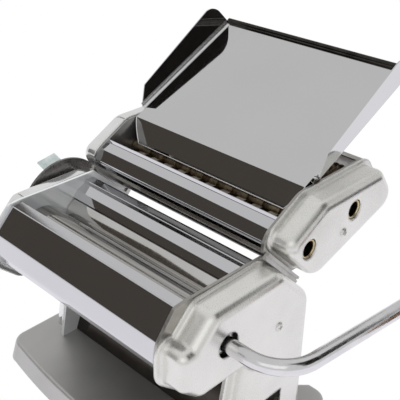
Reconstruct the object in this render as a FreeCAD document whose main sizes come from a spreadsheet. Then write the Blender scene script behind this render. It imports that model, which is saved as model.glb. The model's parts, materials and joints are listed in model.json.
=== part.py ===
import FreeCAD, Part
import math
import os

# Hand cranked pasta machine with a two width cutting unit docked on its sloping back.
# Frame: X runs along the rollers (crank on the +X side), -Y is the front, +Y the back, +Z up.
# Origin: on the table, in the middle of the width, Y = 0 near the middle of the base plate's depth.
# The side view outlines are drawn in (Y, Z); a third number is the rounding of that corner.

SIZES = {
    # sheet metal
    "frame_gauge": 2.0,
    "cover_gauge": 1.2,
    "trim_gauge": 0.8,
    "base_gauge": 1.5,
    # base plate: rim above the table, front fold bowed forwards, recess in the rear edge
    "base_overhang": 7.0,
    "base_top": 15.0,
    "base_rim": 2.0,
    "base_front": -56.0,
    "base_bow": 7.5,
    "base_lip_spread": 5.0,
    "base_rear": 64.0,
    "base_recess": 6.0,
    "base_recess_side": 24.0,
    "base_corner": 12.0,
    "base_edge_round": 3.0,
    "foot_radius": 9.0,
    "foot_inset": 21.0,
    # side frames and the clear width between them
    "inner_half_width": 76.0,
    "cover_depth": 18.0,
    "frame_lug_length": 18.0,
    "frame_lug_depth": 12.0,
    "frame_lug_gap": 3.0,
    "frame_proud": 1.0,
    "frame_inset": 0.4,
    # sheeting rollers; from here on a drop is counted from the top of the pressed side covers
    "drive_y": -35.5,
    "drive_drop": 24.5,
    "roller_radius": 16.9,
    "roller_gap": 1.3,
    "roller_tilt": 4.9,
    "roller_end_play": 0.5,
    "running_fit": 0.05,
    "drive_neck": 7.0,
    "rear_neck": 5.0,
    "bush_wall": 3.0,
    "socket_radius": 4.85,
    "socket_depth": 26.0,
    "socket_slot": 3.2,
    "socket_slot_depth": 6.0,
    "socket_setback": 3.0,
    # gears
    "gear_teeth": 16.0,
    "gear_width": 6.0,
    "gear_backlash": 1.3,
    "gear_shift": 3.0,
    # thickness adjuster: eccentric bushes, link rod, dial and sprung lever
    "eccentricity": 2.0,
    "sleeve_wall": 0.9,
    "sleeve_play": 0.45,
    "eccentric_radius": 9.2,
    "arm_gauge": 2.0,
    "arm_gap": 0.3,
    "arm_half_width": 3.2,
    "link_reach": 25.0,
    "link_radius": 2.2,
    "link_angle": -85.0,
    "slot_play": 0.6,
    "slot_over": 1.0,
    "dial_radius": 37.0,
    "dial_gauge": 2.0,
    "dial_gap": 1.0,
    "dial_pivot_radius": 4.0,
    "dial_step": 7.0,
    "dial_open_steps": 2.0,
    "dial_close_steps": 3.0,
    "index_reach": 19.0,
    "index_pin_radius": 1.4,
    "index_hole_radius": 2.2,
    "lever_angle": 98.7,
    "lever_width": 15.0,
    "lever_gauge": 1.5,
    "lever_foot": 8.0,
    "lever_head": 34.5,
    "lever_lip": 9.0,
    "lever_lip_rise": 3.6,
    "lever_bend": 5.0,
    "post_reach": 11.5,
    "post_radius": 1.6,
    "spring_length": 7.0,
    "spring_radius": 2.6,
    "spring_wire": 0.8,
    "spring_turns": 4.0,
    # side cover outline: crease line of the pressed pan
    "pan_top_height": 123.0,
    "pan_round": 6.4,
    "notch_back": -45.5,
    "notch_front": -61.0,
    "nose_front": -70.3,
    "nose_top_drop": 14.5,
    "nose_bottom_drop": 39.0,
    "belly_front": -56.5,
    "belly_drop": 51.5,
    "leg_front_top": -5.8,
    "leg_front_foot": -20.0,
    "pan_rear": 38.8,
    "slope_start": 11.0,
    "notch_back_round": 9.0,
    "notch_front_round": 4.0,
    "nose_top_round": 6.6,
    "nose_bottom_round": 10.0,
    "belly_round": 10.0,
    "leg_round": 12.0,
    "slope_end_round": 13.0,
    "crest_round": 12.0,
    "flange_margin": 2.6,
    "nose_margin": 4.7,
    "leg_margin": 7.0,
    "slope_margin": 1.1,
    "crank_hole_radius": 8.0,
    "clamp_front": -1.0,
    "clamp_rear": 16.0,
    "clamp_height": 34.3,
    "cover_screw_y": 8.7,
    "cover_screw_drop": 36.4,
    "left_screw_y": 26.0,
    "left_screw_drop": 66.0,
    "pillar_radius": 1.7,
    "screw_head_radius": 3.2,
    "screw_head_height": 1.4,
    "tie_rod_radius": 4.0,
    "front_rod_y": -59.8,
    "front_rod_rise": 14.3,
    "rear_rod_y": 29.0,
    "rear_rod_rise": 8.5,
    "low_rod_y": 20.0,
    "low_rod_height": 9.0,
    # front cover, from its lip down to its lower edge
    "front_back": -50.0,
    "lip_back_rise": 2.6,
    "lip_front": -58.0,
    "lip_front_rise": 2.0,
    "lip_round": 4.0,
    "brow_front": -71.3,
    "brow_drop": 14.2,
    "brow_round": 10.0,
    "chin_front": -72.9,
    "chin_drop": 26.5,
    "chin_round": 9.0,
    "roll_front": -69.6,
    "roll_drop": 34.6,
    "roll_round": 8.0,
    "heel_front": -56.4,
    "heel_drop": 50.0,
    "heel_round": 6.0,
    "edge_drop": 51.6,
    # rear cover: sloping back, crest, ledge and the guard over the rear roller
    "rear_inset": 0.4,
    "rear_foot_drop": 4.0,
    "rear_slope_in": 2.0,
    "rear_slope_round": 9.0,
    "rear_crest_drop": 1.6,
    "rear_crest_round": 3.0,
    "ledge_back": 3.5,
    "ledge_drop": 1.2,
    "step_back": 2.7,
    "step_drop": 3.6,
    "step_round": 0.9,
    "guard_front": 3.9,
    "guard_drop": 6.4,
    "guard_round": 1.2,
    "guard_edge_front": 7.4,
    "guard_edge_drop": 0.1,
    # chute and scrapers under the sheeting rollers
    "chute_foot": -14.0,
    "chute_gap": 0.3,
    "chute_bend": -4.0,
    "chute_bend_height": 26.0,
    "chute_round": 50.0,
    "chute_rear_in": 2.4,
    "chute_head_drop": 5.5,
    "scraper_length": 12.0,
    "scraper_lean": 12.0,
    "front_scraper_gap": 0.4,
    "front_scraper_angle": -135.0,
    "rear_scraper_gap": 1.4,
    "rear_scraper_angle": -45.0,
    # guide rails on the slope
    "rail_width": 3.0,
    "rail_low": 1.4,
    "rail_height": 4.6,
    "rail_length": 45.0,
    "rail_groove": 1.0,
    "rail_stop": 3.0,
    "rail_stop_gap": 1.3,
    "dock_gap": 0.15,
    # cutting unit, placed from the top of the slope
    "cutter_play": 0.2,
    "cutter_face_step": 1.0,
    "cutter_round": 6.0,
    "cutter_lift": 8.84,
    "cutter_front": 1.1,
    "cutter_low": 32.8,
    "cutter_rear_room": 16.3,
    "cutter_rear_rise": 4.7,
    "cutter_top": 30.2,
    "cutter_rear_lean": 18.7,
    "cutter_top_front": 36.4,
    "cutter_front_round": 8.0,
    "cutter_low_round": 13.0,
    "cutter_rear_round": 11.0,
    "cutter_crest_round": 9.0,
    "cutter_brow_round": 14.0,
    "cutter_margin": 2.6,
    "cutter_rear_margin": 4.6,
    "cutter_slope_margin": 1.7,
    "cutter_drive_y": 22.9,
    "cutter_drive_rise": 5.5,
    "cutter_tilt": 11.5,
    "cutter_pair_tilt": 3.0,
    "cutter_pitch": 21.5,
    "cutter_pair_pitch": 45.0,
    "cutter_radius": 11.3,
    "groove_depth": 1.9,
    "wide_cut": 6.5,
    "narrow_cut": 2.0,
    "cut_clearance": 0.1,
    "cutter_neck": 4.0,
    "cutter_socket_neck": 6.0,
    "cutter_socket_setback": 1.5,
    "socket_hole_radius": 6.6,
    "cutter_bush_wall": 2.0,
    "cutter_gear_teeth": 20.0,
    "cutter_gear_room": 1.9,
    "cutter_gear_width": 5.0,
    "cutter_gear_shift": 1.5,
    "cutter_gear_backlash": 0.4,
    "cutter_rod_radius": 3.0,
    "cutter_screw_y": 57.5,
    "cutter_screw_rise": 2.2,
    "cutter_rod_drop": 4.0,
    "cutter_front_rod_y": 27.0,
    "cutter_front_rod_drop": 15.5,
    "cutter_rear_rod_in": 12.0,
    "cutter_rear_rod_rise": 9.0,
    # cutting unit's front visor and its rear cover
    "visor_end": 15.2,
    "visor_end_rise": 22.4,
    "visor_step": 14.7,
    "visor_step_rise": 20.2,
    "visor_step_round": 0.9,
    "visor_crest": 8.6,
    "visor_crest_rise": 17.4,
    "visor_crest_round": 3.0,
    "visor_front": 3.6,
    "visor_front_rise": 8.9,
    "visor_front_round": 4.0,
    "visor_foot": 6.2,
    "visor_foot_rise": 3.8,
    "hood_foot_in": 3.5,
    "hood_foot_rise": 1.0,
    "hood_rear_out": 1.8,
    "hood_rear_rise": 5.4,
    "hood_rear_round": 5.5,
    "hood_crest_out": 3.3,
    "hood_crest_rise": 1.0,
    "hood_crest_round": 3.0,
    "hood_edge_in": 2.8,
    "hood_edge_rise": 1.2,
    "comb_gauge": 1.0,
    "comb_gap": 0.4,
    "comb_angle": 60.0,
    "comb_foot_in": 2.0,
    "comb_foot_drop": 17.0,
    # feed tray, seated on the ridge between the two pairs of cutters
    "tray_along": 49.8,
    "tray_rise": 36.7,
    "tray_side": 3.0,
    "tray_tongue_in": 12.0,
    "tray_slope": 25.8,
    "tray_length": 100.0,
    "tray_lip_start": 18.2,
    "tray_lip_drop": 12.4,
    "tray_lip_round": 13.0,
    "tray_wing": 20.5,
    "tray_wing_low": 12.0,
    "tray_wing_cut": 10.0,
    "tray_wing_flare": 8.0,
    "tray_wing_slant": 5.0,
    "tray_wing_crest": 13.0,
    "tray_wing_round": 8.0,
    "tray_roll": 1.6,
    "tray_rest": 0.1,
    "ridge_back": 15.2,
    "ridge_back_rise": 27.0,
    "ridge_top": 4.0,
    "ridge_front": 5.8,
    "ridge_front_rise": 22.6,
    # crank
    "crank_radius": 4.75,
    "crank_insert": 24.0,
    "crank_reach": 37.6,
    "crank_bend": 26.0,
    "crank_arm": 130.0,
    "crank_lean": 5.0,
    "crank_angle": -1.6,
    "crank_grip_bend": 14.0,
    "crank_cap_gauge": 1.6,
    "crank_cap_reach": 2.0,
    "grip_length": 66.0,
    "grip_radius": 12.5,
    "grip_gap": 0.6,
    "grip_start_gap": 1.0,
    "grip_bore_play": 0.15,
}

# Sizes worked out from others, in the sheet as formulas.
DERIVED = {
    "cover_face": "inner_half_width + frame_gauge + cover_depth",
    "base_half_width": "cover_face + base_overhang",
    "base_recess_half": "base_half_width - base_recess_side",
    "cutter_face": "cover_face - cutter_face_step",
    "cutter_rear": "cutter_drive_y + cutter_pair_pitch + cutter_pitch + cutter_radius + cutter_rear_room",
    "cutter_top_rear": "cutter_rear - cutter_rear_lean",
    "tray_half_width": "inner_half_width + tray_side",
    "tray_tongue_half": "tray_half_width - tray_tongue_in",
}

V = FreeCAD.Vector
document = FreeCAD.newDocument("pasta_machine")
sheet = document.addObject("Spreadsheet::Sheet", "sizes")
for row, (alias, number) in enumerate(SIZES.items(), start=1):
    sheet.set("A%d" % row, alias)
    sheet.set("B%d" % row, repr(number))
    sheet.setAlias("B%d" % row, alias)
for row, (alias, formula) in enumerate(DERIVED.items(), start=len(SIZES) + 1):
    sheet.set("A%d" % row, alias)
    sheet.set("B%d" % row, "=" + formula)
    sheet.setAlias("B%d" % row, alias)
document.recompute()

nodes = []


class Values:
    """The sheet's sizes, and the places worked out from them."""

    def __init__(self):
        for alias in list(SIZES) + list(DERIVED):
            setattr(self, alias, float(sheet.get(alias)))
        self.outer = self.inner_half_width + self.frame_gauge
        self.pan_top = self.base_top + self.pan_top_height
        self.drive_z = self.pan_top - self.drive_drop
        self.spacing = 2 * self.roller_radius + self.roller_gap
        tilt = math.radians(self.roller_tilt)
        self.rear_y = self.drive_y + self.spacing * math.cos(tilt)
        self.rear_z = self.drive_z - self.spacing * math.sin(tilt)
        self.swing_y = self.rear_y
        self.swing_z = self.rear_z - self.eccentricity
        self.link_y, self.link_z = self.from_swing(self.link_reach, self.link_angle)
        self.belly = self.pan_top - self.belly_drop
        self.slope_end_z = self.pan_top + self.slope_start - self.pan_rear
        self.cover_screw_z = self.pan_top - self.cover_screw_drop
        self.left_screw_z = self.pan_top - self.left_screw_drop
        # cutting unit
        self.plate_inner = self.inner_half_width - self.cutter_play
        self.plate_outer = self.outer - self.cutter_play
        tilt = math.radians(self.cutter_tilt)
        pair_tilt = math.radians(self.cutter_pair_tilt)
        self.cutter_axes = []
        for step in (0, self.cutter_pair_pitch):
            y, z = self.dock(
                self.cutter_drive_y + step * math.cos(tilt), self.cutter_drive_rise + step * math.sin(tilt),
            )
            self.cutter_axes.append((y, z))
            self.cutter_axes.append(
                (y + self.cutter_pitch * math.cos(pair_tilt), z + self.cutter_pitch * math.sin(pair_tilt))
            )

    def from_swing(self, reach, angle):
        """A point at this reach and angle from the adjuster's axis."""
        turn = math.radians(angle)
        return self.swing_y + reach * math.cos(turn), self.swing_z + reach * math.sin(turn)

    def dock(self, along, rise):
        """A point counted from the top of the slope, where the cutting unit docks."""
        return self.slope_start + along, self.pan_top + rise


v = Values()


def keep(name, item):
    """Names an object as a node of the assembly."""
    item.Label = name
    nodes.append((name, item))
    return item


def arc_middle(here, back, onward, reach):
    """Middle of the arc that is tangent to both directions at this reach from the corner."""
    half = back.getAngle(onward) / 2
    radius = reach * math.tan(half)
    bisector = (back + onward).normalize()
    return here + bisector * (radius / math.sin(half) - radius)


def rounded(points, closed=True):
    """Outline or path of straight sides, with a tangent arc at each corner that has a rounding."""
    corners = []
    count = len(points)
    for index, (across, up, radius) in enumerate(points):
        here = V(across, up, 0)
        if radius <= 0:
            corners.append((here, None, here))
            continue
        ahead = points[(index + 1) % count]
        back = (V(points[index - 1][0], points[index - 1][1], 0) - here).normalize()
        onward = (V(ahead[0], ahead[1], 0) - here).normalize()
        reach = radius / math.tan(back.getAngle(onward) / 2)
        corners.append((here + back * reach, arc_middle(here, back, onward, reach), here + onward * reach))
    edges = []
    for index, (start, middle, end) in enumerate(corners):
        if middle is not None:
            edges.append(Part.Arc(start, middle, end))
        if index == count - 1 and not closed:
            break
        following = corners[(index + 1) % count][0]
        if (following - end).Length > 1e-6:
            edges.append(Part.LineSegment(end, following))
    return edges


def offset_outline(points, distances):
    """Moves each side of a counter-clockwise outline outwards by its own distance."""
    count = len(points)
    sides = []
    for index in range(count):
        here = points[index]
        ahead = points[(index + 1) % count]
        run = (ahead[0] - here[0], ahead[1] - here[1])
        length = math.hypot(*run)
        shift = distances[index] / length
        sides.append((here[0] + run[1] * shift, here[1] - run[0] * shift, run))
    moved = []
    for index in range(count):
        before_y, before_z, before = sides[index - 1]
        after_y, after_z, after = sides[index]
        cross = before[0] * after[1] - before[1] * after[0]
        share = ((after_y - before_y) * after[1] - (after_z - before_z) * after[0]) / cross
        radius = points[index][2]
        if radius > 0:
            growth = (distances[index - 1] + distances[index]) / 2
            radius += growth if cross > 0 else -growth
            radius = max(radius, 0.4)
        moved.append((before_y + before[0] * share, before_z + before[1] * share, radius))
    return moved


def bent_strip(line, gauge):
    """Outline of a bent sheet: the line is its right hand face, the gauge goes to the left of the travel."""
    sides = []
    for start, end in zip(line, line[1:]):
        length = math.hypot(end[0] - start[0], end[1] - start[1])
        sides.append(((end[0] - start[0]) / length, (end[1] - start[1]) / length))
    inner = []
    for index, (across, up, radius) in enumerate(line):
        before = sides[max(index - 1, 0)]
        after = sides[min(index, len(sides) - 1)]
        normal = (-before[1] - after[1], before[0] + after[0])
        length = math.hypot(*normal)
        cosine = (after[0] * normal[1] - after[1] * normal[0]) / length
        reach = gauge / cosine / length
        turn = before[0] * after[1] - before[1] * after[0]
        inner_radius = 0
        if radius > 0:
            inner_radius = max(radius - gauge, 0.2) if turn > 0 else radius + gauge
        inner.append((across + normal[0] * reach, up + normal[1] * reach, inner_radius))
    return [(across, up, radius) for across, up, radius in line] + inner[::-1]


def origin_plane(body, role):
    return next(item for item in body.Origin.OriginFeatures if item.Role == role)


def sketch(body, name, role, edges, offset=None):
    """A sketch on one of the body's own origin planes, pushed along its normal by an expression."""
    drawing = body.newObject("Sketcher::SketchObject", name)
    drawing.AttachmentSupport = [(origin_plane(body, role), "")]
    drawing.MapMode = "FlatFace"
    if offset is not None:
        drawing.setExpression(".AttachmentOffset.Base.z", offset)
    for edge in edges:
        drawing.addGeometry(edge, False)
    return drawing


def pad(body, name, drawing, length, reverse=False, both_ways=False):
    feature = body.newObject("PartDesign::Pad", name)
    feature.Profile = drawing
    feature.setExpression("Length", length)
    feature.Reversed = reverse
    feature.Midplane = both_ways
    drawing.Visibility = False
    return feature


def circle(y, z, radius):
    return Part.Circle(V(y, z, 0), V(0, 0, 1), radius)


def new_body(name):
    body = document.addObject("PartDesign::Body", name)
    return body


def side_sign(side):
    return "" if side > 0 else "-"


def side_plate(name, side, outline, start, gauge):
    """A flat plate parallel to the side, from the start plane outwards; start and gauge are expressions."""
    body = new_body(name)
    drawing = sketch(body, name + "_outline", "YZ_Plane", rounded(outline), "%s(%s)" % (side_sign(side), start))
    pad(body, name + "_sheet", drawing, gauge, reverse=side < 0)
    return body


def cross_sheet(name, line, gauge, width):
    """A bent sheet across the machine, between the side plates."""
    body = new_body(name)
    drawing = sketch(body, name + "_section", "YZ_Plane", rounded(bent_strip(line, gauge)))
    pad(body, name + "_width", drawing, width, both_ways=True)
    return body


def bar(name, radius, length, start, y, z):
    """A round bar along X; radius, length and start are expressions."""
    item = document.addObject("Part::Cylinder", name)
    item.Placement = FreeCAD.Placement(V(0, y, z), FreeCAD.Rotation(V(0, 1, 0), 90))
    item.setExpression("Radius", radius)
    item.setExpression("Height", length)
    item.setExpression(".Placement.Base.x", start)
    return item


def group(name, items):
    """Several loose solids that share one node."""
    item = document.addObject("Part::Compound", name)
    item.Links = items
    return item


def cut(name, base, tools):
    """The base less every tool."""
    tool = tools[0]
    if len(tools) > 1:
        tool = document.addObject("Part::MultiFuse", name + "_tools")
        tool.Shapes = tools
    item = document.addObject("Part::Cut", name)
    item.Base = base
    item.Tool = tool
    return item


def revolved(name, profile, y, z):
    """A turned piece: the profile is (X, radius) pairs, closed along the axis."""
    body = new_body(name)
    points = [(across, up, 0) for across, up in profile]
    drawing = sketch(body, name + "_profile", "XY_Plane", rounded(points))
    turn = body.newObject("PartDesign::Revolution", name + "_turn")
    turn.Profile = drawing
    turn.ReferenceAxis = (drawing, ["H_Axis"])
    turn.Angle = 360.0
    body.Placement = FreeCAD.Placement(V(0, y, z), FreeCAD.Rotation())
    return body


def edges_on_face(shape, plane_x, lowest):
    """Names of the edges that lie in the plane, apart from those at or below the lowest height."""
    names = []
    for index, edge in enumerate(shape.Edges, start=1):
        flat = all(abs(vertex.X - plane_x) < 1e-4 for vertex in edge.Vertexes)
        if flat and edge.BoundBox.ZMax > lowest + 1e-3:
            names.append("Edge%d" % index)
    return names


def rounded_block(name, side, outline, start, depth, radius, lowest):
    """A block with the outline, from the start plane outwards, its outer edge rounded."""
    body = new_body(name)
    drawing = sketch(body, name + "_outline", "YZ_Plane", rounded(outline), "%s(%s)" % (side_sign(side), start))
    block = pad(body, name + "_block", drawing, depth, reverse=side < 0)
    document.recompute()
    box = block.Shape.BoundBox
    plane_x = box.XMax if side > 0 else box.XMin
    fillet = body.newObject("PartDesign::Fillet", name + "_round")
    fillet.Base = (block, edges_on_face(block.Shape, plane_x, lowest))
    fillet.setExpression("Radius", radius)
    return body


def pressed_cover(name, side, outline, flange, inside, start, face, radius, lowest):
    """A deep pressed cover: flat flange, upright wall and a face with a rounded edge, open inside."""
    depth = "sizes.%s - (%s)" % (face, start)
    rim = side_plate(name + "_flange", side, flange, start, "sizes.cover_gauge")
    shell = rounded_block(name + "_outside", side, outline, start, depth, "sizes.%s" % radius, lowest)
    void = rounded_block(
        name + "_inside", side, inside, "%s - 1" % start, depth + " + 1 - sizes.cover_gauge",
        "sizes.%s - sizes.cover_gauge" % radius, lowest,
    )
    whole = document.addObject("Part::Fuse", name + "_whole")
    whole.Base = rim
    whole.Tool = shell
    return cut(name + "_hollow", whole, [void])


def main_pan():
    """Crease line of a side cover: notch and nose in front, belly, leg to the base, sloping back."""
    notch_foot = v.pan_top - (v.notch_back - v.notch_front)
    return [
        (v.notch_back, v.pan_top, v.notch_back_round),
        (v.notch_front, notch_foot, v.notch_front_round),
        (v.nose_front, v.pan_top - v.nose_top_drop, v.nose_top_round),
        (v.nose_front, v.pan_top - v.nose_bottom_drop, v.nose_bottom_round),
        (v.belly_front, v.belly, v.belly_round),
        (v.leg_front_top, v.belly, v.leg_round),
        (v.leg_front_foot, v.base_top, 0),
        (v.pan_rear, v.base_top, 0),
        (v.pan_rear, v.slope_end_z, v.slope_end_round),
        (v.slope_start, v.pan_top, v.crest_round),
    ]


def main_margins():
    """Width of the flange outside each side of the crease line."""
    edge = v.flange_margin
    return [
        edge + 0.6, edge + 0.6, v.nose_margin, edge, v.nose_margin,
        v.leg_margin, 0, edge, v.slope_margin, edge,
    ]


def link_slot(name, side, start, depth):
    """Curved slot for the link rod, round the adjuster's axis."""
    half = v.link_radius + v.slot_play
    outer = v.link_reach + half
    inner = v.link_reach - half
    low = v.link_angle - v.dial_step * v.dial_open_steps - v.slot_over
    high = v.link_angle + v.dial_step * v.dial_close_steps + v.slot_over
    middle = (low + high) / 2

    def place(reach, angle):
        y, z = v.from_swing(reach, angle)
        return V(y, z, 0)

    cap = math.degrees(half / v.link_reach)
    edges = [
        Part.Arc(place(outer, low), place(outer, middle), place(outer, high)),
        Part.Arc(place(outer, high), place(v.link_reach, high + cap), place(inner, high)),
        Part.Arc(place(inner, high), place(inner, middle), place(inner, low)),
        Part.Arc(place(inner, low), place(v.link_reach, low - cap), place(outer, low)),
    ]
    body = new_body(name)
    drawing = sketch(body, name + "_outline", "YZ_Plane", edges, "%s(%s)" % (side_sign(side), start))
    pad(body, name + "_block", drawing, depth, reverse=side < 0)
    return body


def clamp_block(name, side, start, depth):
    """The opening in the leg that takes the table clamp."""
    outline = [
        (v.clamp_front, v.base_top - 2, 0),
        (v.clamp_rear, v.base_top - 2, 0),
        (v.clamp_rear, v.base_top + v.clamp_height, 1.5),
        (v.clamp_front, v.base_top + v.clamp_height, 1.5),
    ]
    return side_plate(name, side, outline, start, depth)


def base_outline(spread, wall):
    """Plan of the base plate in (X, Y), drawn in by the wall; its front arc is moved forwards by the spread."""
    half = v.base_half_width - wall
    rear = v.base_rear - wall
    front = v.base_front - spread + wall
    corner = v.base_corner - wall
    slant = wall * math.tan(math.radians(22.5))
    shoulder = v.base_recess_half + v.base_recess + slant
    recess_half = v.base_recess_half + slant
    inner_rear = rear - v.base_recess
    turn = corner * math.sqrt(0.5)
    right = half - corner
    diagonal_x = right + turn
    return [
        Part.Arc(V(-right, front, 0), V(0, front - v.base_bow, 0), V(right, front, 0)),
        Part.Arc(V(right, front, 0), V(diagonal_x, front + corner - turn, 0), V(half, front + corner, 0)),
        Part.LineSegment(V(half, front + corner, 0), V(half, rear - corner, 0)),
        Part.Arc(V(half, rear - corner, 0), V(diagonal_x, rear - corner + turn, 0), V(right, rear, 0)),
        Part.LineSegment(V(right, rear, 0), V(shoulder, rear, 0)),
        Part.LineSegment(V(shoulder, rear, 0), V(recess_half, inner_rear, 0)),
        Part.LineSegment(V(recess_half, inner_rear, 0), V(-recess_half, inner_rear, 0)),
        Part.LineSegment(V(-recess_half, inner_rear, 0), V(-shoulder, rear, 0)),
        Part.LineSegment(V(-shoulder, rear, 0), V(-right, rear, 0)),
        Part.Arc(V(-right, rear, 0), V(-diagonal_x, rear - corner + turn, 0), V(-half, rear - corner, 0)),
        Part.LineSegment(V(-half, rear - corner, 0), V(-half, front + corner, 0)),
        Part.Arc(V(-half, front + corner, 0), V(-diagonal_x, front + corner - turn, 0), V(-right, front, 0)),
    ]


def base_plate():
    """Pressed base: flat top, upright skirt at the sides and rear, front lip that leans forwards."""
    body = new_body("base_plate")
    top = sketch(body, "base_top_outline", "XY_Plane", base_outline(0, 0), "sizes.base_top")
    spread = v.base_lip_spread
    rim = sketch(body, "base_rim_outline", "XY_Plane", base_outline(spread, 0), "sizes.base_rim")
    loft = body.newObject("PartDesign::AdditiveLoft", "base_loft")
    loft.Profile = top
    loft.Sections = [rim]
    loft.Ruled = True
    document.recompute()
    upper = [
        "Edge%d" % number for number, edge in enumerate(loft.Shape.Edges, start=1)
        if edge.BoundBox.ZMin > v.base_top - 1e-3
    ]
    fold = body.newObject("PartDesign::Fillet", "base_fold")
    fold.Base = (loft, upper)
    fold.setExpression("Radius", "sizes.base_edge_round")
    gauge = v.base_gauge
    ceiling = sketch(body, "base_ceiling", "XY_Plane", base_outline(0, gauge), "sizes.base_top - sizes.base_gauge")
    mouth = sketch(body, "base_mouth", "XY_Plane", base_outline(spread, gauge), "sizes.base_rim")
    hollow = body.newObject("PartDesign::SubtractiveLoft", "base_hollow")
    hollow.Profile = ceiling
    hollow.Sections = [mouth]
    hollow.Ruled = True
    keep("base_plate", body)


def rubber_feet():
    feet = []
    reach_x = v.base_half_width - v.foot_inset
    for x in (-reach_x, reach_x):
        for y in (v.base_front + v.foot_inset, v.base_rear - v.foot_inset):
            foot = document.addObject("Part::Cylinder", "foot")
            foot.setExpression("Radius", "sizes.foot_radius")
            foot.setExpression("Height", "sizes.base_top - sizes.base_gauge")
            foot.Placement = FreeCAD.Placement(V(x, y, 0), FreeCAD.Rotation())
            feet.append(foot)
    keep("rubber_feet", group("rubber_feet", feet))


def front_line(clearance):
    """Outer line of the front cover, from its lip down to its lower edge; clearance moves it inwards."""
    top = v.pan_top
    return [
        (v.front_back, top + v.lip_back_rise - clearance, 0),
        (v.lip_front + clearance, top + v.lip_front_rise - clearance, v.lip_round),
        (v.brow_front + clearance, top - v.brow_drop, v.brow_round),
        (v.chin_front + clearance, top - v.chin_drop, v.chin_round),
        (v.roll_front + clearance, top - v.roll_drop + clearance, v.roll_round),
        (v.heel_front + clearance, top - v.heel_drop + clearance, v.heel_round),
        (v.front_back, top - v.edge_drop + clearance, 0),
    ]


def frame_outline():
    """Side frame plate: the front edge stands just proud of the front cover."""
    inset = v.frame_inset
    leg = offset_outline(main_pan(), main_margins())
    slope = v.flange_margin + v.running_fit
    front = front_line(-v.frame_proud)
    crest_y = v.slope_start + (slope * math.sqrt(2) - v.flange_margin)
    rear = v.pan_rear + v.flange_margin - inset
    crest_z = v.pan_top + v.flange_margin
    return [(v.front_back, crest_z + v.frame_proud, 0)] + front[1:6] + [
        (v.front_back, v.belly - v.nose_margin + inset, 0),
        (leg[5][0] + inset, leg[5][1] + inset, leg[5][2]),
        (leg[6][0] + inset, v.base_top, 0),
        (rear, v.base_top, 0),
        (rear, crest_z + crest_y - rear, 5.0),
        (crest_y, crest_z, 2.0),
    ]


def side_frame(side):
    """Side plate with bearing holes, the slot for the link rod, the clamp opening and a foot lug."""
    name = "right_frame" if side > 0 else "left_frame"
    plate = side_plate(name + "_plate", side, frame_outline(), "sizes.inner_half_width", "sizes.frame_gauge")
    lug = document.addObject("Part::Box", name + "_lug")
    lug.setExpression("Length", "sizes.frame_lug_depth + sizes.frame_gauge")
    lug.setExpression("Width", "sizes.frame_lug_length")
    lug.setExpression("Height", "sizes.frame_gauge")
    left = v.inner_half_width - v.frame_lug_depth if side > 0 else -v.outer
    lug.Placement = FreeCAD.Placement(V(left, v.clamp_rear + v.frame_lug_gap, v.base_top), FreeCAD.Rotation())
    whole = document.addObject("Part::Fuse", name + "_whole")
    whole.Base = plate
    whole.Tool = lug
    start = "sizes.inner_half_width - 1" if side > 0 else "-sizes.inner_half_width - sizes.frame_gauge - 1"
    depth = "sizes.frame_gauge + 2"
    bush = "sizes.drive_neck + sizes.bush_wall"
    swing = "sizes.eccentric_radius + sizes.running_fit"
    tools = [
        bar(name + "_drive_hole", bush, depth, start, v.drive_y, v.drive_z),
        bar(name + "_swing_hole", swing, depth, start, v.swing_y, v.swing_z),
        link_slot(name + "_link_slot", side, "sizes.inner_half_width - 1", depth),
        clamp_block(name + "_clamp", side, "sizes.inner_half_width - 1", depth),
    ]
    keep(name, cut(name, whole, tools))


def side_cover(side):
    """Pressed side cover with its leg; the right one has the crank hole, the left one the dial's seat."""
    name = "right_cover" if side > 0 else "left_cover"
    outline = main_pan()
    flange = offset_outline(outline, main_margins())
    gauge = v.cover_gauge
    inside = offset_outline(outline, [-gauge] * 6 + [1.0] + [-gauge] * 3)
    seat = "sizes.inner_half_width + sizes.frame_gauge"
    shell = pressed_cover(name, side, outline, flange, inside, seat, "cover_face", "pan_round", v.base_top)
    through = "sizes.cover_gauge + 2"
    start = "sizes.cover_face - sizes.cover_gauge - 1" if side > 0 else "-sizes.cover_face - 1"
    tools = [clamp_block(name + "_clamp", side, seat + " - 1", "sizes.cover_face - (%s) + 2" % seat)]
    if side > 0:
        tools.append(bar(name + "_crank_hole", "sizes.crank_hole_radius", through, start, v.drive_y, v.drive_z))
    else:
        steps = range(-int(v.dial_open_steps), int(v.dial_close_steps) + 1)
        for number, step in enumerate(steps):
            y, z = v.from_swing(v.index_reach, v.lever_angle + step * v.dial_step)
            tools.append(bar("%s_index_%d" % (name, number), "sizes.index_hole_radius", through, start, y, z))
        tools.append(link_slot(name + "_link_slot", side, "sizes.cover_face - sizes.cover_gauge - 1", through))
    keep(name, cut(name, shell, tools))


def front_cover():
    """Polished front cover: narrow lip, slanted face and rolled lower edge."""
    line = front_line(0)
    keep("front_cover", cross_sheet("front_cover", line, v.trim_gauge, "2 * sizes.inner_half_width"))


def rear_cover():
    """Polished rear cover: guard edge over the rear roller, lip, ribbed top and the sloping back."""
    top = v.pan_top
    tangent = v.rear_z + v.roller_radius
    slope = v.slope_start + v.pan_top - v.rear_slope_in
    back = v.pan_rear - v.rear_inset
    line = [
        (back, v.belly - v.rear_foot_drop, 0),
        (back, slope - v.pan_rear, v.rear_slope_round),
        (slope - top + v.rear_crest_drop, top - v.rear_crest_drop, v.rear_crest_round),
        (v.rear_y + v.ledge_back, top - v.ledge_drop, v.step_round),
        (v.rear_y + v.step_back, top - v.step_drop, v.step_round),
        (v.rear_y - v.guard_front, top - v.guard_drop, v.guard_round),
        (v.rear_y - v.guard_edge_front, tangent - v.guard_edge_drop, 0),
    ]
    keep("rear_cover", cross_sheet("rear_cover", line, v.trim_gauge, "2 * sizes.inner_half_width"))


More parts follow.
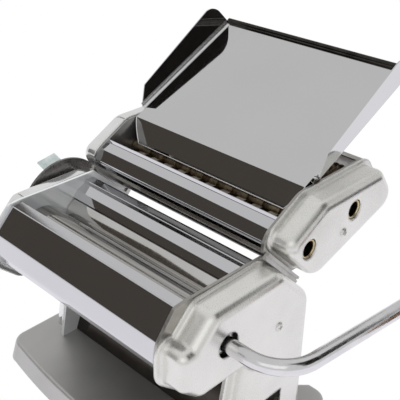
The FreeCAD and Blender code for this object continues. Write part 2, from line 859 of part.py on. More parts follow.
def chute():
    """Curved plate that carries the dough sheet forwards onto the base."""
    line = [
        (v.chute_foot, v.base_top + v.chute_gap, 0),
        (v.chute_bend, v.base_top + v.chute_bend_height, v.chute_round),
        (v.pan_rear - v.chute_rear_in, v.belly - v.chute_head_drop, 0),
    ]
    keep("chute", cross_sheet("chute", line[::-1], v.trim_gauge, "2 * sizes.inner_half_width"))


def tie_rod_places():
    """Where the cross rods of the main frame sit."""
    return [
        (v.front_rod_y, v.belly + v.front_rod_rise),
        (v.rear_rod_y, v.belly + v.rear_rod_rise),
        (v.low_rod_y, v.base_top + v.low_rod_height),
    ]


def tie_rods():
    rods = []
    screws = []
    for number, (y, z) in enumerate(tie_rod_places()):
        rods.append(bar("tie_rod_%d" % number, "sizes.tie_rod_radius", "2 * sizes.inner_half_width",
                        "-sizes.inner_half_width", y, z))
        screws.append(bar("frame_screw_right_%d" % number, "sizes.screw_head_radius", "sizes.screw_head_height",
                          "sizes.inner_half_width + sizes.frame_gauge", y, z))
        screws.append(bar("frame_screw_left_%d" % number, "sizes.screw_head_radius", "sizes.screw_head_height",
                          "-sizes.inner_half_width - sizes.frame_gauge - sizes.screw_head_height", y, z))
    keep("tie_rods", group("tie_rods", rods))
    keep("frame_screws", group("frame_screws", screws))


def cover_fixings():
    """One pillar and one screw hold each side cover."""
    length = "sizes.cover_face - sizes.cover_gauge - sizes.inner_half_width - sizes.frame_gauge"
    right = (v.cover_screw_y, v.cover_screw_z)
    left = (v.left_screw_y, v.left_screw_z)
    pillars = [
        bar("right_pillar", "sizes.pillar_radius", length, "sizes.inner_half_width + sizes.frame_gauge", *right),
        bar("left_pillar", "sizes.pillar_radius", length, "-sizes.cover_face + sizes.cover_gauge", *left),
    ]
    screws = [
        bar("right_cover_screw", "sizes.screw_head_radius", "sizes.screw_head_height", "sizes.cover_face", *right),
        bar("left_cover_screw", "sizes.screw_head_radius", "sizes.screw_head_height",
            "-sizes.cover_face - sizes.screw_head_height", *left),
    ]
    keep("cover_pillars", group("cover_pillars", pillars))
    keep("cover_screws", group("cover_screws", screws))


def scraper(name, axis, gap, angle, lean):
    """A strip whose edge strips the dough off the underside of a roller."""
    turn = math.radians(angle)
    reach = v.roller_radius + gap
    tip = (axis[0] + reach * math.cos(turn), axis[1] + reach * math.sin(turn))
    run = math.radians(angle + lean)
    foot = (tip[0] + v.scraper_length * math.cos(run), tip[1] + v.scraper_length * math.sin(run))
    line = [(tip[0], tip[1], 0), (foot[0], foot[1], 0)]
    keep(name, cross_sheet(name, line, v.trim_gauge, "2 * sizes.inner_half_width"))


def rails():
    """Grooved guide rails on the slope, with a stop that the cutting unit comes down on."""
    along = V(0, math.sqrt(0.5), -math.sqrt(0.5))
    rise = V(0, math.sqrt(0.5), math.sqrt(0.5))
    for side in (1, -1):
        name = "right_guide_rail" if side > 0 else "left_guide_rail"
        start = V(side * v.outer, v.slope_start, v.pan_top) + rise * v.rail_low - along * 1.0
        width = V(side * v.rail_width, 0, 0)
        groove = v.rail_groove
        middle = v.rail_height / 2
        section = [
            start,
            start + width,
            start + width + rise * (middle - groove / 2),
            start + width * (1 - groove / v.rail_width) + rise * (middle - groove / 2),
            start + width * (1 - groove / v.rail_width) + rise * (middle + groove / 2),
            start + width + rise * (middle + groove / 2),
            start + width + rise * v.rail_height,
            start + rise * v.rail_height,
            start,
        ]
        rail = Part.Face(Part.makePolygon(section)).extrude(along * v.rail_length)
        drop = V(side * -v.rail_stop / 2, 0, 0)
        lift = v.flange_margin + 0.05 + v.dock_gap - v.rail_low
        reach = math.sqrt(2) * v.cutter_low - v.cutter_lift + v.rail_stop_gap
        stop_start = start + along * (reach + 1.0) + rise * lift
        corner = [
            stop_start,
            stop_start + drop,
            stop_start + drop + rise * (v.rail_height - lift),
            stop_start + rise * (v.rail_height - lift),
            stop_start,
        ]
        stop = Part.Face(Part.makePolygon(corner)).extrude(along * v.rail_stop)
        item = document.addObject("Part::Feature", name)
        item.Shape = rail.fuse(stop).removeSplitter()
        keep(name, item)


def bush_ring(name, outer, inner, start, length, y, z):
    """A plain bearing ring along X."""
    ring = bar(name + "_ring", outer, length, start, y, z)
    bore = bar(name + "_bore", inner, length + " + 2", start + " - 1", y, z)
    return cut(name, ring, [bore])


def drive_bushes():
    rings = []
    for start in ("sizes.inner_half_width", "-sizes.inner_half_width - sizes.frame_gauge"):
        name = "right_drive_bush" if start.startswith("sizes") else "left_drive_bush"
        rings.append(bush_ring(name, "sizes.drive_neck + sizes.bush_wall", "sizes.drive_neck + sizes.running_fit",
                               start, "sizes.frame_gauge", v.drive_y, v.drive_z))
    keep("drive_bushes", group("drive_bushes", rings))


def socket_profile(end, half, body_radius, neck_right, neck_left, left_end):
    """Roller with a neck at each end and a blind socket for the crank in the right one."""
    floor = end - v.socket_depth
    return [
        (-left_end, 0), (-left_end, neck_left), (-half, neck_left), (-half, body_radius),
        (half, body_radius), (half, neck_right), (end, neck_right), (end, v.socket_radius),
        (floor, v.socket_radius), (floor, 0),
    ]


def notched(name, body, end, y, z):
    """Cuts the cross slot into a socket's mouth, for the pin of the crank."""
    slot = document.addObject("Part::Box", name + "_slot")
    slot.setExpression("Length", "sizes.socket_slot_depth + 1")
    slot.setExpression("Width", "sizes.socket_slot")
    slot.setExpression("Height", "4 * sizes.drive_neck")
    turn = FreeCAD.Rotation(V(1, 0, 0), v.crank_angle)
    corner = turn.multVec(V(0, -v.socket_slot / 2, -2 * v.drive_neck))
    slot.Placement = FreeCAD.Placement(V(end - v.socket_slot_depth, y, z) + corner, turn)
    return cut(name, body, [slot])


def front_roller():
    end = v.cover_face - v.socket_setback
    half = v.inner_half_width - v.roller_end_play
    left_end = v.outer + v.gear_shift + v.gear_width
    profile = socket_profile(end, half, v.roller_radius, v.drive_neck, v.drive_neck, left_end)
    body = revolved("front_roller_blank", profile, v.drive_y, v.drive_z)
    keep("front_roller", notched("front_roller", body, end, v.drive_y, v.drive_z))


def rear_roller():
    half = v.inner_half_width - v.roller_end_play
    left_end = v.outer + v.gear_shift + v.gear_width
    right_end = v.outer + v.arm_gap + v.arm_gauge
    profile = [
        (-left_end, 0), (-left_end, v.rear_neck), (-half, v.rear_neck), (-half, v.roller_radius),
        (half, v.roller_radius), (half, v.rear_neck), (right_end, v.rear_neck), (right_end, 0),
    ]
    keep("rear_roller", revolved("rear_roller", profile, v.rear_y, v.rear_z))


def gear_outline(teeth, pitch_radius, backlash, turn):
    """Closed outline of a spur gear with straight flanks; a tooth points along the turn angle."""
    module = 2 * pitch_radius / teeth
    tip = pitch_radius + 0.9 * module
    root = pitch_radius - 0.95 * module - backlash
    half = math.pi / (2 * teeth) - backlash / 4 / pitch_radius
    slope = math.tan(math.radians(20)) / pitch_radius
    points = []
    for tooth in range(int(teeth)):
        middle = math.radians(turn) + 2 * math.pi * tooth / teeth
        at_tip = half - slope * (tip - pitch_radius)
        at_root = half + slope * (pitch_radius - root)
        for radius, angle in ((root, -at_root), (tip, -at_tip), (tip, at_tip), (root, at_root)):
            points.append((radius * math.cos(middle + angle), radius * math.sin(middle + angle), 0))
    return points


def gear(name, axis, teeth, pitch_radius, backlash, turn, bore, start, width):
    """A spur gear pressed on its neck; start and width are expressions."""
    body = new_body(name)
    edges = rounded(gear_outline(teeth, pitch_radius, backlash, turn)) + [circle(0, 0, bore)]
    drawing = sketch(body, name + "_outline", "YZ_Plane", edges, start)
    pad(body, name + "_blank", drawing, width)
    body.Placement = FreeCAD.Placement(V(0, axis[0], axis[1]), FreeCAD.Rotation())
    keep(name, body)


def roller_gears():
    start = "-sizes.inner_half_width - sizes.frame_gauge - sizes.gear_shift - sizes.gear_width"
    pitch = v.spacing / 2
    gear("front_roller_gear", (v.drive_y, v.drive_z), v.gear_teeth, pitch, v.gear_backlash, -v.roller_tilt,
         v.drive_neck, start, "sizes.gear_width")
    turn = 180 - v.roller_tilt + 180 / v.gear_teeth
    gear("rear_roller_gear", (v.rear_y, v.rear_z), v.gear_teeth, pitch, v.gear_backlash, turn,
         v.rear_neck, start, "sizes.gear_width")


def adjuster():
    """Eccentric bushes with arms, the rod that links them, and the dial outside the left cover."""
    for side in (1, -1):
        name = "right_eccentric" if side > 0 else "left_eccentric"
        reach = v.link_reach + v.arm_half_width
        half = v.arm_half_width
        end_round = half - v.running_fit
        turn = math.radians(v.link_angle)
        along = (math.cos(turn), math.sin(turn))
        across = (-along[1], along[0])

        def arm_point(distance, offset, radius):
            y = v.swing_y + along[0] * distance + across[0] * offset
            z = v.swing_z + along[1] * distance + across[1] * offset
            return (y, z, radius)

        arm_line = [
            arm_point(0, half, 0), arm_point(reach, half, end_round),
            arm_point(reach, -half, end_round), arm_point(0, -half, 0),
        ]
        arm_line.reverse()
        plane = "sizes.inner_half_width + sizes.frame_gauge + sizes.arm_gap"
        arm = side_plate(name + "_arm", side, arm_line, plane, "sizes.arm_gauge")
        ring_length = "sizes.frame_gauge + sizes.arm_gap + sizes.arm_gauge"
        ring_start = "sizes.inner_half_width" if side > 0 else "-sizes.inner_half_width - (%s)" % ring_length
        ring = bar(name + "_ring", "sizes.eccentric_radius", ring_length, ring_start, v.swing_y, v.swing_z)
        whole = document.addObject("Part::Fuse", name + "_whole")
        whole.Base = arm
        whole.Tool = ring
        bore = "sizes.rear_neck + sizes.running_fit + sizes.sleeve_wall + sizes.sleeve_play"
        long_start = ring_start + " - 2"
        tools = [
            bar(name + "_bore", bore, ring_length + " + 4", long_start, v.rear_y, v.rear_z),
            bar(name + "_link_hole", "sizes.link_radius", ring_length + " + 4", long_start, v.link_y, v.link_z),
        ]
        keep(name, cut(name, whole, tools))
    rod_end = "sizes.inner_half_width + sizes.frame_gauge + sizes.arm_gap + sizes.arm_gauge"
    rod_length = "%s + sizes.cover_face + sizes.dial_gap + sizes.dial_gauge" % rod_end
    keep("adjuster_link_rod", bar("adjuster_link_rod", "sizes.link_radius", rod_length,
                                  "-sizes.cover_face - sizes.dial_gap - sizes.dial_gauge", v.link_y, v.link_z))
    sleeves = []
    for side in (1, -1):
        name = "right_sleeve" if side > 0 else "left_sleeve"
        start = "sizes.inner_half_width" if side > 0 else "-(%s)" % rod_end
        sleeves.append(bush_ring(name, "sizes.rear_neck + sizes.running_fit + sizes.sleeve_wall",
                                 "sizes.rear_neck + sizes.running_fit", start,
                                 "sizes.frame_gauge + sizes.arm_gap + sizes.arm_gauge", v.rear_y, v.rear_z))
    keep("rear_roller_sleeves", group("rear_roller_sleeves", sleeves))


def dial():
    """Round dial on a pivot in the left cover, with holes for the link rod, index pin and lever post."""
    start = "-sizes.cover_face - sizes.dial_gap - sizes.dial_gauge"
    disc = bar("adjuster_dial_disc", "sizes.dial_radius", "sizes.dial_gauge", start, v.swing_y, v.swing_z)
    pin_y, pin_z = v.from_swing(v.index_reach, v.lever_angle)
    through = "sizes.dial_gauge + 2"
    outside = start + " - 1"
    pivot_hole = "sizes.dial_pivot_radius + sizes.running_fit"
    tools = [
        bar("dial_pivot_hole", pivot_hole, through, outside, v.swing_y, v.swing_z),
        bar("dial_link_hole", "sizes.link_radius", through, outside, v.link_y, v.link_z),
        bar("dial_pin_hole", "sizes.index_pin_radius + 0.3", through, outside, pin_y, pin_z),
    ]
    plain = cut("adjuster_dial_plain", disc, tools)
    post_y, post_z = v.from_swing(v.post_reach, v.lever_angle)
    length = "(sizes.lever_gauge + sizes.spring_length)"
    post = bar("dial_post", "sizes.post_radius", length, "%s - %s" % (start, length), post_y, post_z)
    head = bar("dial_post_head", "sizes.spring_radius + sizes.spring_wire / 2 + 0.2", "0.8 mm",
               "%s - %s - 0.8" % (start, length), post_y, post_z)
    whole = document.addObject("Part::MultiFuse", "adjuster_dial")
    whole.Shapes = [plain, post, head]
    keep("adjuster_dial", whole)
    pivot_length = "sizes.dial_gap + sizes.dial_gauge"
    pivot = bar("dial_pivot_pin", "sizes.dial_pivot_radius", pivot_length, start, v.swing_y, v.swing_z)
    cap = bar("dial_pivot_head", "sizes.dial_pivot_radius + 2", "1.2 mm", start + " - 1.3", v.swing_y, v.swing_z)
    neck = bar("dial_pivot_neck", "sizes.dial_pivot_radius", "1.4 mm", start + " - 1.3", v.swing_y, v.swing_z)
    stud = document.addObject("Part::MultiFuse", "dial_pivot")
    stud.Shapes = [pivot, cap, neck]
    keep("dial_pivot", stud)


def lever():
    """Zinc pull lever on the dial: flat spring loaded strip, finger lip on top, index pin behind."""
    face = v.cover_face + v.dial_gap + v.dial_gauge
    line = [
        (-face, v.lever_foot, 0),
        (-face, v.lever_head, v.lever_bend),
        (-face - v.lever_lip, v.lever_head + v.lever_lip_rise, 0),
    ]
    body = new_body("lever_strip")
    drawing = sketch(body, "lever_section", "XZ_Plane", rounded(bent_strip(line, v.lever_gauge)))
    pad(body, "lever_sheet", drawing, "sizes.lever_width", both_ways=True)
    turn = FreeCAD.Rotation(V(1, 0, 0), v.lever_angle - 90)
    body.Placement = FreeCAD.Placement(V(0, v.swing_y, v.swing_z), turn)
    post_y, post_z = v.from_swing(v.post_reach, v.lever_angle)
    outside = "-sizes.cover_face - sizes.dial_gap - sizes.dial_gauge - sizes.lever_gauge"
    through = "sizes.lever_gauge + 2"
    hole = bar("lever_post_hole", "sizes.post_radius + 0.3", through, outside + " - 1", post_y, post_z)
    pin_y, pin_z = v.from_swing(v.index_reach, v.lever_angle)
    pin_length = "sizes.lever_gauge + sizes.dial_gauge + sizes.dial_gap + sizes.cover_gauge + 0.3"
    pin = bar("lever_pin", "sizes.index_pin_radius", pin_length, outside, pin_y, pin_z)
    whole = document.addObject("Part::Fuse", "adjuster_lever")
    whole.Base = cut("lever_bored", body, [hole])
    whole.Tool = pin
    keep("adjuster_lever", whole)


def spring():
    """Compression spring on the lever's post: one unbroken six sided wire on pairs of arcs along a helix."""
    y, z = v.from_swing(v.post_reach, v.lever_angle)
    wire = v.spring_wire
    length = v.spring_length - wire - 0.2
    start = -(v.cover_face + v.dial_gap + v.dial_gauge + v.lever_gauge) - wire / 2 - 0.1
    thirds = int(v.spring_turns * 3)

    def helix(share):
        angle = 2 * math.pi * v.spring_turns * share
        coil = V(0, math.cos(angle), math.sin(angle)) * v.spring_radius
        point = V(start - length * share, y, z) + coil
        around = 2 * math.pi * v.spring_turns * v.spring_radius
        tangent = V(-length, -around * math.sin(angle), around * math.cos(angle)).normalize()
        return point, tangent

    arcs = []
    for third in range(thirds):
        near, leave = helix(third / thirds)
        far, arrive = helix((third + 1) / thirds)
        chord = far - near
        spread = 2 * (1 - leave.dot(arrive))
        along = chord.dot(leave + arrive)
        reach = (math.sqrt(along * along + spread * chord.dot(chord)) - along) / spread
        joint = (near + far + (leave - arrive) * reach) / 2
        first = near + leave * reach
        second = far - arrive * reach
        rising = arc_middle(first, leave * -1, (joint - first).normalize(), reach)
        falling = arc_middle(second, (joint - second).normalize(), arrive, reach)
        arcs.append(Part.Arc(near, rising, joint).toShape())
        arcs.append(Part.Arc(joint, falling, far).toShape())
    point, tangent = helix(0)
    outward = V(0, 1, 0)
    across = tangent.cross(outward)
    corners = [
        point + (outward * math.cos(turn * math.pi / 3) + across * math.sin(turn * math.pi / 3)) * (wire / 2)
        for turn in range(7)
    ]
    section = Part.makePolygon(corners)
    item = document.addObject("Part::Feature", "adjuster_spring")
    item.Shape = Part.Wire(arcs).makePipeShell([section], True, False)
    print("least gap between the spring's turns %.2f mm" % (length / v.spring_turns - wire))
    keep("adjuster_spring", item)


def cutter_outline():
    """Crease line of the cutting unit's side cover."""
    fall = v.cutter_lift * math.sqrt(2)
    front = v.dock(v.cutter_front, fall - v.cutter_front)
    low = v.dock(v.cutter_low, fall - v.cutter_low)
    rear = v.dock(v.cutter_rear, v.cutter_rear_rise)
    crest = v.dock(v.cutter_top_rear, v.cutter_top)
    brow = v.dock(v.cutter_top_front, v.cutter_top)
    return [
        front + (v.cutter_front_round,), low + (v.cutter_low_round,), rear + (v.cutter_rear_round,),
        crest + (v.cutter_crest_round,), brow + (v.cutter_brow_round,),
    ]


def cutter_margins():
    edge = v.cutter_margin
    return [v.cutter_slope_margin, edge, v.cutter_rear_margin, edge, edge + 1.0]


def cutter_necks():
    """Neck radius of each cutting roller in the right hand frame: every driven one carries a socket."""
    return [v.cutter_socket_neck, v.cutter_neck, v.cutter_socket_neck, v.cutter_neck]


def cutter_rod_places():
    middle = v.dock(v.cutter_screw_y, v.cutter_screw_rise - v.cutter_rod_drop)
    front = v.dock(v.cutter_front_rod_y, -v.cutter_front_rod_drop)
    rear = v.dock(v.cutter_rear - v.cutter_rear_rod_in, v.cutter_rear_rod_rise)
    return [middle, front, rear]


def cutter_frames():
    for side in (1, -1):
        name = "cutter_right_frame" if side > 0 else "cutter_left_frame"
        margins = [margin - 0.5 for margin in cutter_margins()]
        margins[0] = v.cutter_lift - v.flange_margin - 0.05 - v.dock_gap
        start = "sizes.inner_half_width - sizes.cutter_play"
        plate = side_plate(name + "_plate", side, offset_outline(cutter_outline(), margins), start,
                           "sizes.frame_gauge")
        hole_start = start + " - 1" if side > 0 else "-(%s) - sizes.frame_gauge - 1" % start
        tools = []
        for number, (y, z) in enumerate(v.cutter_axes):
            neck = "cutter_socket_neck" if side > 0 and number in (0, 2) else "cutter_neck"
            radius = "sizes.%s + sizes.cutter_bush_wall" % neck
            tools.append(bar("%s_hole_%d" % (name, number), radius, "sizes.frame_gauge + 2", hole_start, y, z))
        keep(name, cut(name, plate, tools))


def cutter_covers():
    for side in (1, -1):
        name = "cutter_right_cover" if side > 0 else "cutter_left_cover"
        outline = cutter_outline()
        margins = cutter_margins()
        if side < 0:
            outline = offset_outline(outline, [v.cutter_gear_room, 0, 0, 0, 0])
            margins[0] -= 1.0
        flange = offset_outline(outline, margins)
        inside = offset_outline(outline, [-v.cover_gauge] * 5)
        seat = "sizes.inner_half_width + sizes.frame_gauge - sizes.cutter_play"
        shell = pressed_cover(name, side, outline, flange, inside, seat, "cutter_face", "cutter_round", -1000.0)
        item = shell
        if side > 0:
            start = "sizes.cutter_face - sizes.cover_gauge - 1"
            tools = [
                bar("%s_socket_%d" % (name, number), "sizes.socket_hole_radius", "sizes.cover_gauge + 2", start,
                    *v.cutter_axes[number])
                for number in (0, 2)
            ]
            item = cut(name, shell, tools)
        keep(name, item)


def cutter_sheets():
    """Front and rear covers of the cutting unit, and the ridge between its two pairs of rollers."""
    width = "2 * (sizes.inner_half_width - sizes.cutter_play)"
    front = [
        (v.visor_end, v.visor_end_rise, 0),
        (v.visor_step, v.visor_step_rise, v.visor_step_round),
        (v.visor_crest, v.visor_crest_rise, v.visor_crest_round),
        (v.visor_front, v.visor_front_rise, v.visor_front_round),
        (v.visor_foot, v.visor_foot_rise, 0),
    ]
    rear = [
        (v.cutter_rear - v.hood_foot_in, v.hood_foot_rise, 0),
        (v.cutter_rear + v.hood_rear_out, v.hood_rear_rise, v.hood_rear_round),
        (v.cutter_top_rear + v.hood_crest_out, v.cutter_top + v.hood_crest_rise, v.hood_crest_round),
        (v.cutter_top_rear - v.hood_edge_in, v.cutter_top + v.hood_edge_rise, 0),
    ]
    crest = v.tray_rise - v.trim_gauge / math.cos(math.radians(v.tray_slope)) - v.tray_rest
    ridge = [
        (v.tray_along + v.ridge_back, v.ridge_back_rise, 0),
        (v.tray_along + v.ridge_top, crest - 1.4, 2.0),
        (v.tray_along - 0.6, crest - 0.6, 1.2),
        (v.tray_along - v.ridge_front, v.ridge_front_rise, 0),
    ]
    for name, line in (("cutter_front_cover", front), ("cutter_rear_cover", rear), ("cutter_ridge", ridge)):
        placed = [v.dock(along, rise) + (radius,) for along, rise, radius in line]
        keep(name, cross_sheet(name, placed, v.trim_gauge, width))


def cutter_rods():
    rods = []
    inner = "(sizes.inner_half_width - sizes.cutter_play)"
    for number, (y, z) in enumerate(cutter_rod_places()):
        rods.append(bar("cutter_rod_%d" % number, "sizes.cutter_rod_radius", "2 * " + inner, "-" + inner, y, z))
    y, z = v.dock(v.cutter_screw_y, v.cutter_screw_rise)
    pillar = "sizes.cutter_face - sizes.cover_gauge - %s - sizes.frame_gauge" % inner
    pillars = [
        bar("cutter_right_pillar", "sizes.pillar_radius", pillar, inner + " + sizes.frame_gauge", y, z),
        bar("cutter_left_pillar", "sizes.pillar_radius", pillar, "-sizes.cutter_face + sizes.cover_gauge", y, z),
    ]
    screws = [
        bar("cutter_right_screw", "sizes.screw_head_radius", "sizes.screw_head_height", "sizes.cutter_face", y, z),
        bar("cutter_left_screw", "sizes.screw_head_radius", "sizes.screw_head_height",
            "-sizes.cutter_face - sizes.screw_head_height", y, z),
    ]
    keep("cutter_tie_rods", group("cutter_tie_rods", rods))
    keep("cutter_pillars", group("cutter_pillars", pillars))
    keep("cutter_screws", group("cutter_screws", screws))


def cutter_bushes():
    inner = "(sizes.inner_half_width - sizes.cutter_play)"
    rings = []
    for number, (y, z) in enumerate(v.cutter_axes):
        for side in (1, -1):
            neck = "sizes.cutter_socket_neck" if side > 0 and number in (0, 2) else "sizes.cutter_neck"
            start = inner if side > 0 else "-%s - sizes.frame_gauge" % inner
            rings.append(bush_ring("cutter_bush_%d_%s" % (number, "right" if side > 0 else "left"),
                                   neck + " + sizes.cutter_bush_wall", neck + " + sizes.running_fit",
                                   start, "sizes.frame_gauge", y, z))
    keep("cutter_bushes", group("cutter_bushes", rings))


def cutting_rollers():
    """Two meshed pairs: square rings for the wide ribbons, fine ridges for the narrow ones."""
    names = ("wide_cutter_driver", "wide_cutter_partner", "narrow_cutter_driver", "narrow_cutter_partner")
    half = v.plate_inner - v.roller_end_play
    base = v.cutter_radius - v.groove_depth
    for number, name in enumerate(names):
        y, z = v.cutter_axes[number]
        driven = number in (0, 2)
        width = v.wide_cut if number < 2 else v.narrow_cut
        shift = 0 if driven else width
        last = int((half - width - shift) / (2 * width))
        centres = [shift + 2 * width * step for step in range(-last - 1, last + 1)]
        centres = [centre for centre in centres if abs(centre) + width < half]
        gear_end = v.plate_outer + v.cutter_gear_shift + v.cutter_gear_width
        if number >= 2:
            gear_end += v.cutter_gear_width + v.cutter_gear_shift
        profile = [(-gear_end, 0), (-gear_end, v.cutter_neck), (-half, v.cutter_neck), (-half, base)]
        for centre in centres:
            if number < 2:
                edge = width / 2 - v.cut_clearance
                profile += [
                    (centre - edge, base), (centre - edge, v.cutter_radius),
                    (centre + edge, v.cutter_radius), (centre + edge, base),
                ]
            else:
                profile += [(centre - width + v.cut_clearance, base), (centre, v.cutter_radius),
                            (centre + width - v.cut_clearance, base)]
        profile += [(half, base), (half, cutter_necks()[number])]
        if driven:
            end = v.cutter_face - v.cutter_socket_setback
            floor = end - v.socket_depth
            profile += [(end, v.cutter_socket_neck), (end, v.socket_radius), (floor, v.socket_radius), (floor, 0)]
            blank = revolved(name + "_blank", profile, y, z)
            keep(name, notched(name, blank, end, y, z))
        else:
            profile += [(v.plate_outer, v.cutter_neck), (v.plate_outer, 0)]
            keep(name, revolved(name, profile, y, z))


def cutter_gears():
    names = ("wide_driver_gear", "wide_partner_gear", "narrow_driver_gear", "narrow_partner_gear")
    plate = "-(sizes.inner_half_width - sizes.cutter_play + sizes.frame_gauge)"
    step = "sizes.cutter_gear_shift - sizes.cutter_gear_width"
    for number, name in enumerate(names):
        start = "%s - %s" % (plate, step)
        if number >= 2:
            start += " - %s" % step
        half_tooth = 180 / v.cutter_gear_teeth
        turn = v.cutter_pair_tilt if number in (0, 2) else v.cutter_pair_tilt + 180 + half_tooth
        gear(name, v.cutter_axes[number], v.cutter_gear_teeth, v.cutter_pitch / 2, v.cutter_gear_backlash, turn,
             v.cutter_neck, start, "sizes.cutter_gear_width")


def combs():
    """A comb under each cutting roller, its teeth in the grooves to lift the ribbons out."""
    names = ("wide_front_comb", "wide_rear_comb", "narrow_front_comb", "narrow_rear_comb")
    width = "2 * (sizes.inner_half_width - sizes.cutter_play)"
    tilt = math.radians(v.cutter_pair_tilt)
    for number, name in enumerate(names):
        axis = v.cutter_axes[number]
        facing = 1 if number in (0, 2) else -1
        cut_width = v.wide_cut if number < 2 else v.narrow_cut
        lean = math.radians(v.comb_angle)

        def below(across, drop):
            """A point beside and below the roller's axis, the near side facing the other roller."""
            return (
                axis[0] + facing * across * math.cos(tilt) + drop * math.sin(tilt),
                axis[1] + facing * across * math.sin(tilt) - drop * math.cos(tilt),
            )

        groove_reach = v.cutter_radius - v.groove_depth + v.comb_gap
        tip = below(groove_reach * math.cos(lean), groove_reach * math.sin(lean))
        foot = below(-v.comb_foot_in, v.comb_foot_drop)
        length = math.hypot(foot[0] - tip[0], foot[1] - tip[1])
        along = ((foot[0] - tip[0]) / length, (foot[1] - tip[1]) / length)
        lean_in = (tip[0] - axis[0]) * along[0] + (tip[1] - axis[1]) * along[1]
        clear = v.cutter_radius + v.comb_gap
        reach = math.sqrt(lean_in ** 2 + clear ** 2 - groove_reach ** 2) - lean_in

        def section(start, end):
            line = [(tip[0] + along[0] * step, tip[1] + along[1] * step, 0) for step in (start, end)]
            return rounded(bent_strip(line if facing > 0 else line[::-1], v.comb_gauge))

        body = new_body(name)
        pad(body, name + "_strip", sketch(body, name + "_section", "YZ_Plane", section(reach, length)), width,
            both_ways=True)
        if number < 2:
            half = v.plate_inner - v.roller_end_play
            shift = cut_width if facing > 0 else 0
            count = 2 * int((half - 2 * cut_width) / (2 * cut_width)) - 1
            first = shift - 2 * cut_width * ((count + 1) // 2)
            tooth_sketch = sketch(body, name + "_tooth_section", "YZ_Plane", section(0, reach + v.comb_gap),
                                  "%r" % first)
            tooth = pad(body, name + "_tooth", tooth_sketch, "sizes.wide_cut - 6 * sizes.cut_clearance",
                        both_ways=True)
            row = body.newObject("PartDesign::LinearPattern", name + "_teeth")
            row.Originals = [tooth]
            row.Direction = (tooth_sketch, ["N_Axis"])
            row.Length = 2 * cut_width * (count - 1)
            row.Occurrences = count
            body.Tip = row
        keep(name, body)


def tray_placement():
    y, z = v.dock(v.tray_along, v.tray_rise)
    return FreeCAD.Placement(V(0, y, z), FreeCAD.Rotation(V(1, 0, 0), v.tray_slope))


def feed_tray():
    """Dough tray: flat plate with a rolled top edge, flared side wings and a lip down to the first rollers."""
    lean = math.radians(90 - v.tray_slope)
    lip = [
        (0.5, 0.0, 0),
        (-v.tray_lip_start, 0.0, v.tray_lip_round),
        (-v.tray_lip_start - v.tray_lip_drop * math.cos(lean), -v.tray_lip_drop * math.sin(lean), 0),
    ]
    tongue = new_body("tray_tongue")
    drawing = sketch(tongue, "tray_lip_section", "YZ_Plane", rounded(bent_strip(lip, v.trim_gauge)))
    pad(tongue, "tray_lip", drawing, "2 * sizes.tray_tongue_half", both_ways=True)
    plate = new_body("tray_plate")
    flat = bent_strip([(v.tray_length, 0.0, 0), (0.0, 0.0, 0)], v.trim_gauge)
    drawing = sketch(plate, "tray_flat_section", "YZ_Plane", rounded(flat))
    pad(plate, "tray_flat", drawing, "2 * sizes.tray_half_width", both_ways=True)
    tongue.Placement = tray_placement()
    plate.Placement = tray_placement()
    pieces = [plate, tongue]
    gauge = v.trim_gauge
    outline = [
        (0.0, -gauge, 0), (v.tray_length, -gauge, 0), (v.tray_length, 1.0, 0),
        (v.tray_length - v.tray_wing_slant, v.tray_wing - 2.5, 3.0),
        (v.tray_length - v.tray_wing_crest, v.tray_wing, v.tray_wing_round),
        (v.tray_wing_cut, v.tray_wing_low, 2.5), (0.0, 0.6, 0),
    ]
    for side in (1, -1):
        name = "tray_right_wing" if side > 0 else "tray_left_wing"
        wing = new_body(name)
        drawing = sketch(wing, name + "_outline", "YZ_Plane", rounded(outline))
        pad(wing, name + "_sheet", drawing, "sizes.trim_gauge", reverse=side > 0)
        turn = FreeCAD.Rotation(V(0, 1, 0), side * v.tray_wing_flare)
        flare = FreeCAD.Placement(V(side * v.tray_half_width, 0, 0), turn)
        wing.Placement = tray_placement() * flare
        pieces.append(wing)
    roll = document.addObject("Part::Cylinder", "tray_roll")
    roll.setExpression("Radius", "sizes.tray_roll")
    roll.setExpression("Height", "2 * sizes.tray_half_width")
    start = FreeCAD.Placement(V(-v.tray_half_width, v.tray_length, -v.tray_roll), FreeCAD.Rotation(V(0, 1, 0), 90))
    roll.Placement = tray_placement() * start
    pieces.append(roll)
    whole = document.addObject("Part::MultiFuse", "feed_tray")
    whole.Shapes = pieces
    keep("feed_tray", whole)


